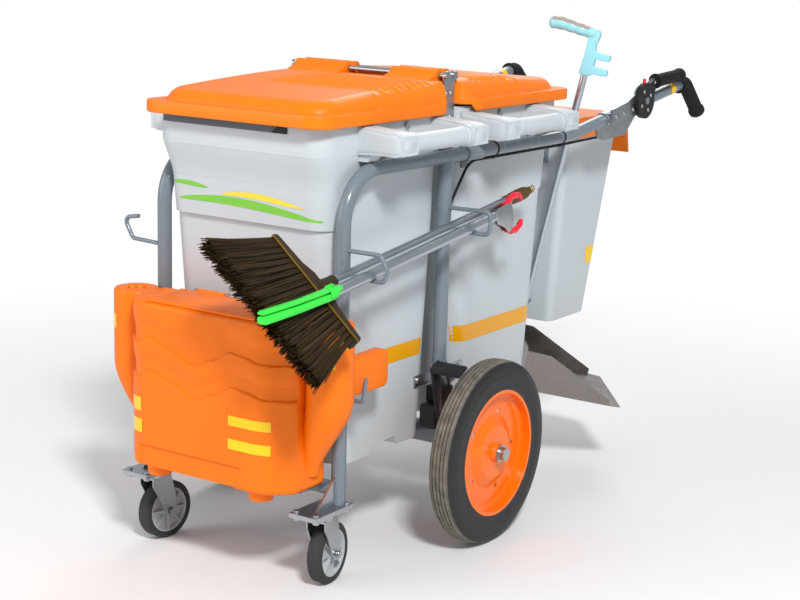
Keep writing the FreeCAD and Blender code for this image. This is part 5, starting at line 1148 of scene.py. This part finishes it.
NODE_FINISHES = {
    "gloss_enamel_on_tube": ("frame_side_left", "frame_side_right", "axle_beam", "cross_tubes", "tool_box_shelf",
                             "tool_hooks_left", "tool_hooks_right", "small_bin_brackets", "rail_straps"),
    "bright_zinc_plate": ("castor_plate_left", "castor_plate_right", "axle", "bin_bolts", "hinge_rods",
                          "hinge_brackets", "tool_box_hinge", "cable_adjuster", "castor_fork_left",
                          "castor_fork_right", "brake_arm", "picker_plates"),
    "vulcanised_rubber_black": ("brake_cable", "hand_grip_left", "hand_grip_right", "lever_grip"),
    "glass_filled_nylon_black": ("cable_ties", "brake_clamp", "dustpan_clip", "brake_lever"),
    "dipped_vinyl_red": ("lever_button", "picker_handle", "picker_trigger"),
    "anodised_aluminium_drawn": ("picker_tube", "broom_handle", "dustpan_handle"),
    "galvanised_sheet": ("brake_bracket",),
    # the dustpan's sheet: its colour holds a painted reflection of the road
    "stainless_sheet_painted_road_reflection": ("dustpan_pan",),
    "abs_pale_aqua": ("dustpan_comb",),
    "nylon_fluorescent_green": ("picker_fixed_jaw", "picker_jaw"),
    "castor_rubber_grey": ("castor_tyre_left", "castor_tyre_right"),
    "polypropylene_light_grey": ("castor_hub_left", "castor_hub_right"),
    "moulded_polyethylene_orange": ("front_lid", "rear_lid", "small_bin_lid"),
    BOX_ORANGE: ("tool_box", "tool_box_columns", "tool_box_lid"),
    BODY_GREY: ("front_bin", "rear_bin", "small_bin"),
    "gloss_enamel_on_rim": ("wheel_rim_left", "wheel_rim_right"),
    "solid_rubber_tyre": ("tyre_left", "tyre_right"),
    "stained_beech": ("broom_head", "broom_bristles"),
    "phenolic_brown": ("broom_grip",),
}


class CART_OT_metalwork(bpy.types.Operator):
    """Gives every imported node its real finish"""
    bl_idname = "cart.metalwork"
    bl_label = "Packed nodes"

    def execute(self, context):
        rubber_tyre()
        for name, nodes in NODE_FINISHES.items():
            for node in nodes:
                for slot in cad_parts[node].material_slots:
                    slot.material = finish(name)
        return {"FINISHED"}


CLASSES = [CartSizes, CartColours, CART_OT_stage, CART_OT_metalwork, CART_OT_lids, CART_OT_tool_box,
           CART_OT_bristles, CART_OT_films, CART_OT_grips, CART_OT_picker, CART_OT_rivets, CART_OT_broom,
           CART_OT_jaws, CART_OT_comb, CART_OT_bin_collars, CART_OT_bin_handles, CART_OT_brake_shoe]


class CART_PT_panel(bpy.types.Panel):
    """Lists the steps and the sizes"""
    bl_idname = "CART_PT_panel"
    bl_label = "Street sweeping cart"
    bl_space_type = "VIEW_3D"
    bl_region_type = "UI"
    bl_category = "Cart"

    def draw(self, context):
        for group in (context.scene.cart_sizes, context.scene.cart_colours):
            for key in group.__annotations__:
                self.layout.prop(group, key)
        for operator in CLASSES:
            if issubclass(operator, bpy.types.Operator):
                self.layout.operator(operator.bl_idname)


def register():
    for item in CLASSES + [CART_PT_panel]:
        bpy.utils.register_class(item)
    bpy.types.Scene.cart_sizes = bpy.props.PointerProperty(type=CartSizes)
    bpy.types.Scene.cart_colours = bpy.props.PointerProperty(type=CartColours)


def unregister():
    del bpy.types.Scene.cart_sizes, bpy.types.Scene.cart_colours
    for item in reversed(CLASSES + [CART_PT_panel]):
        bpy.utils.unregister_class(item)


def main():
    register()
    for item in CLASSES:
        if issubclass(item, bpy.types.Operator):
            getattr(bpy.ops.cart, item.bl_idname.split(".")[1])()


if __name__ == "__main__":
    main()
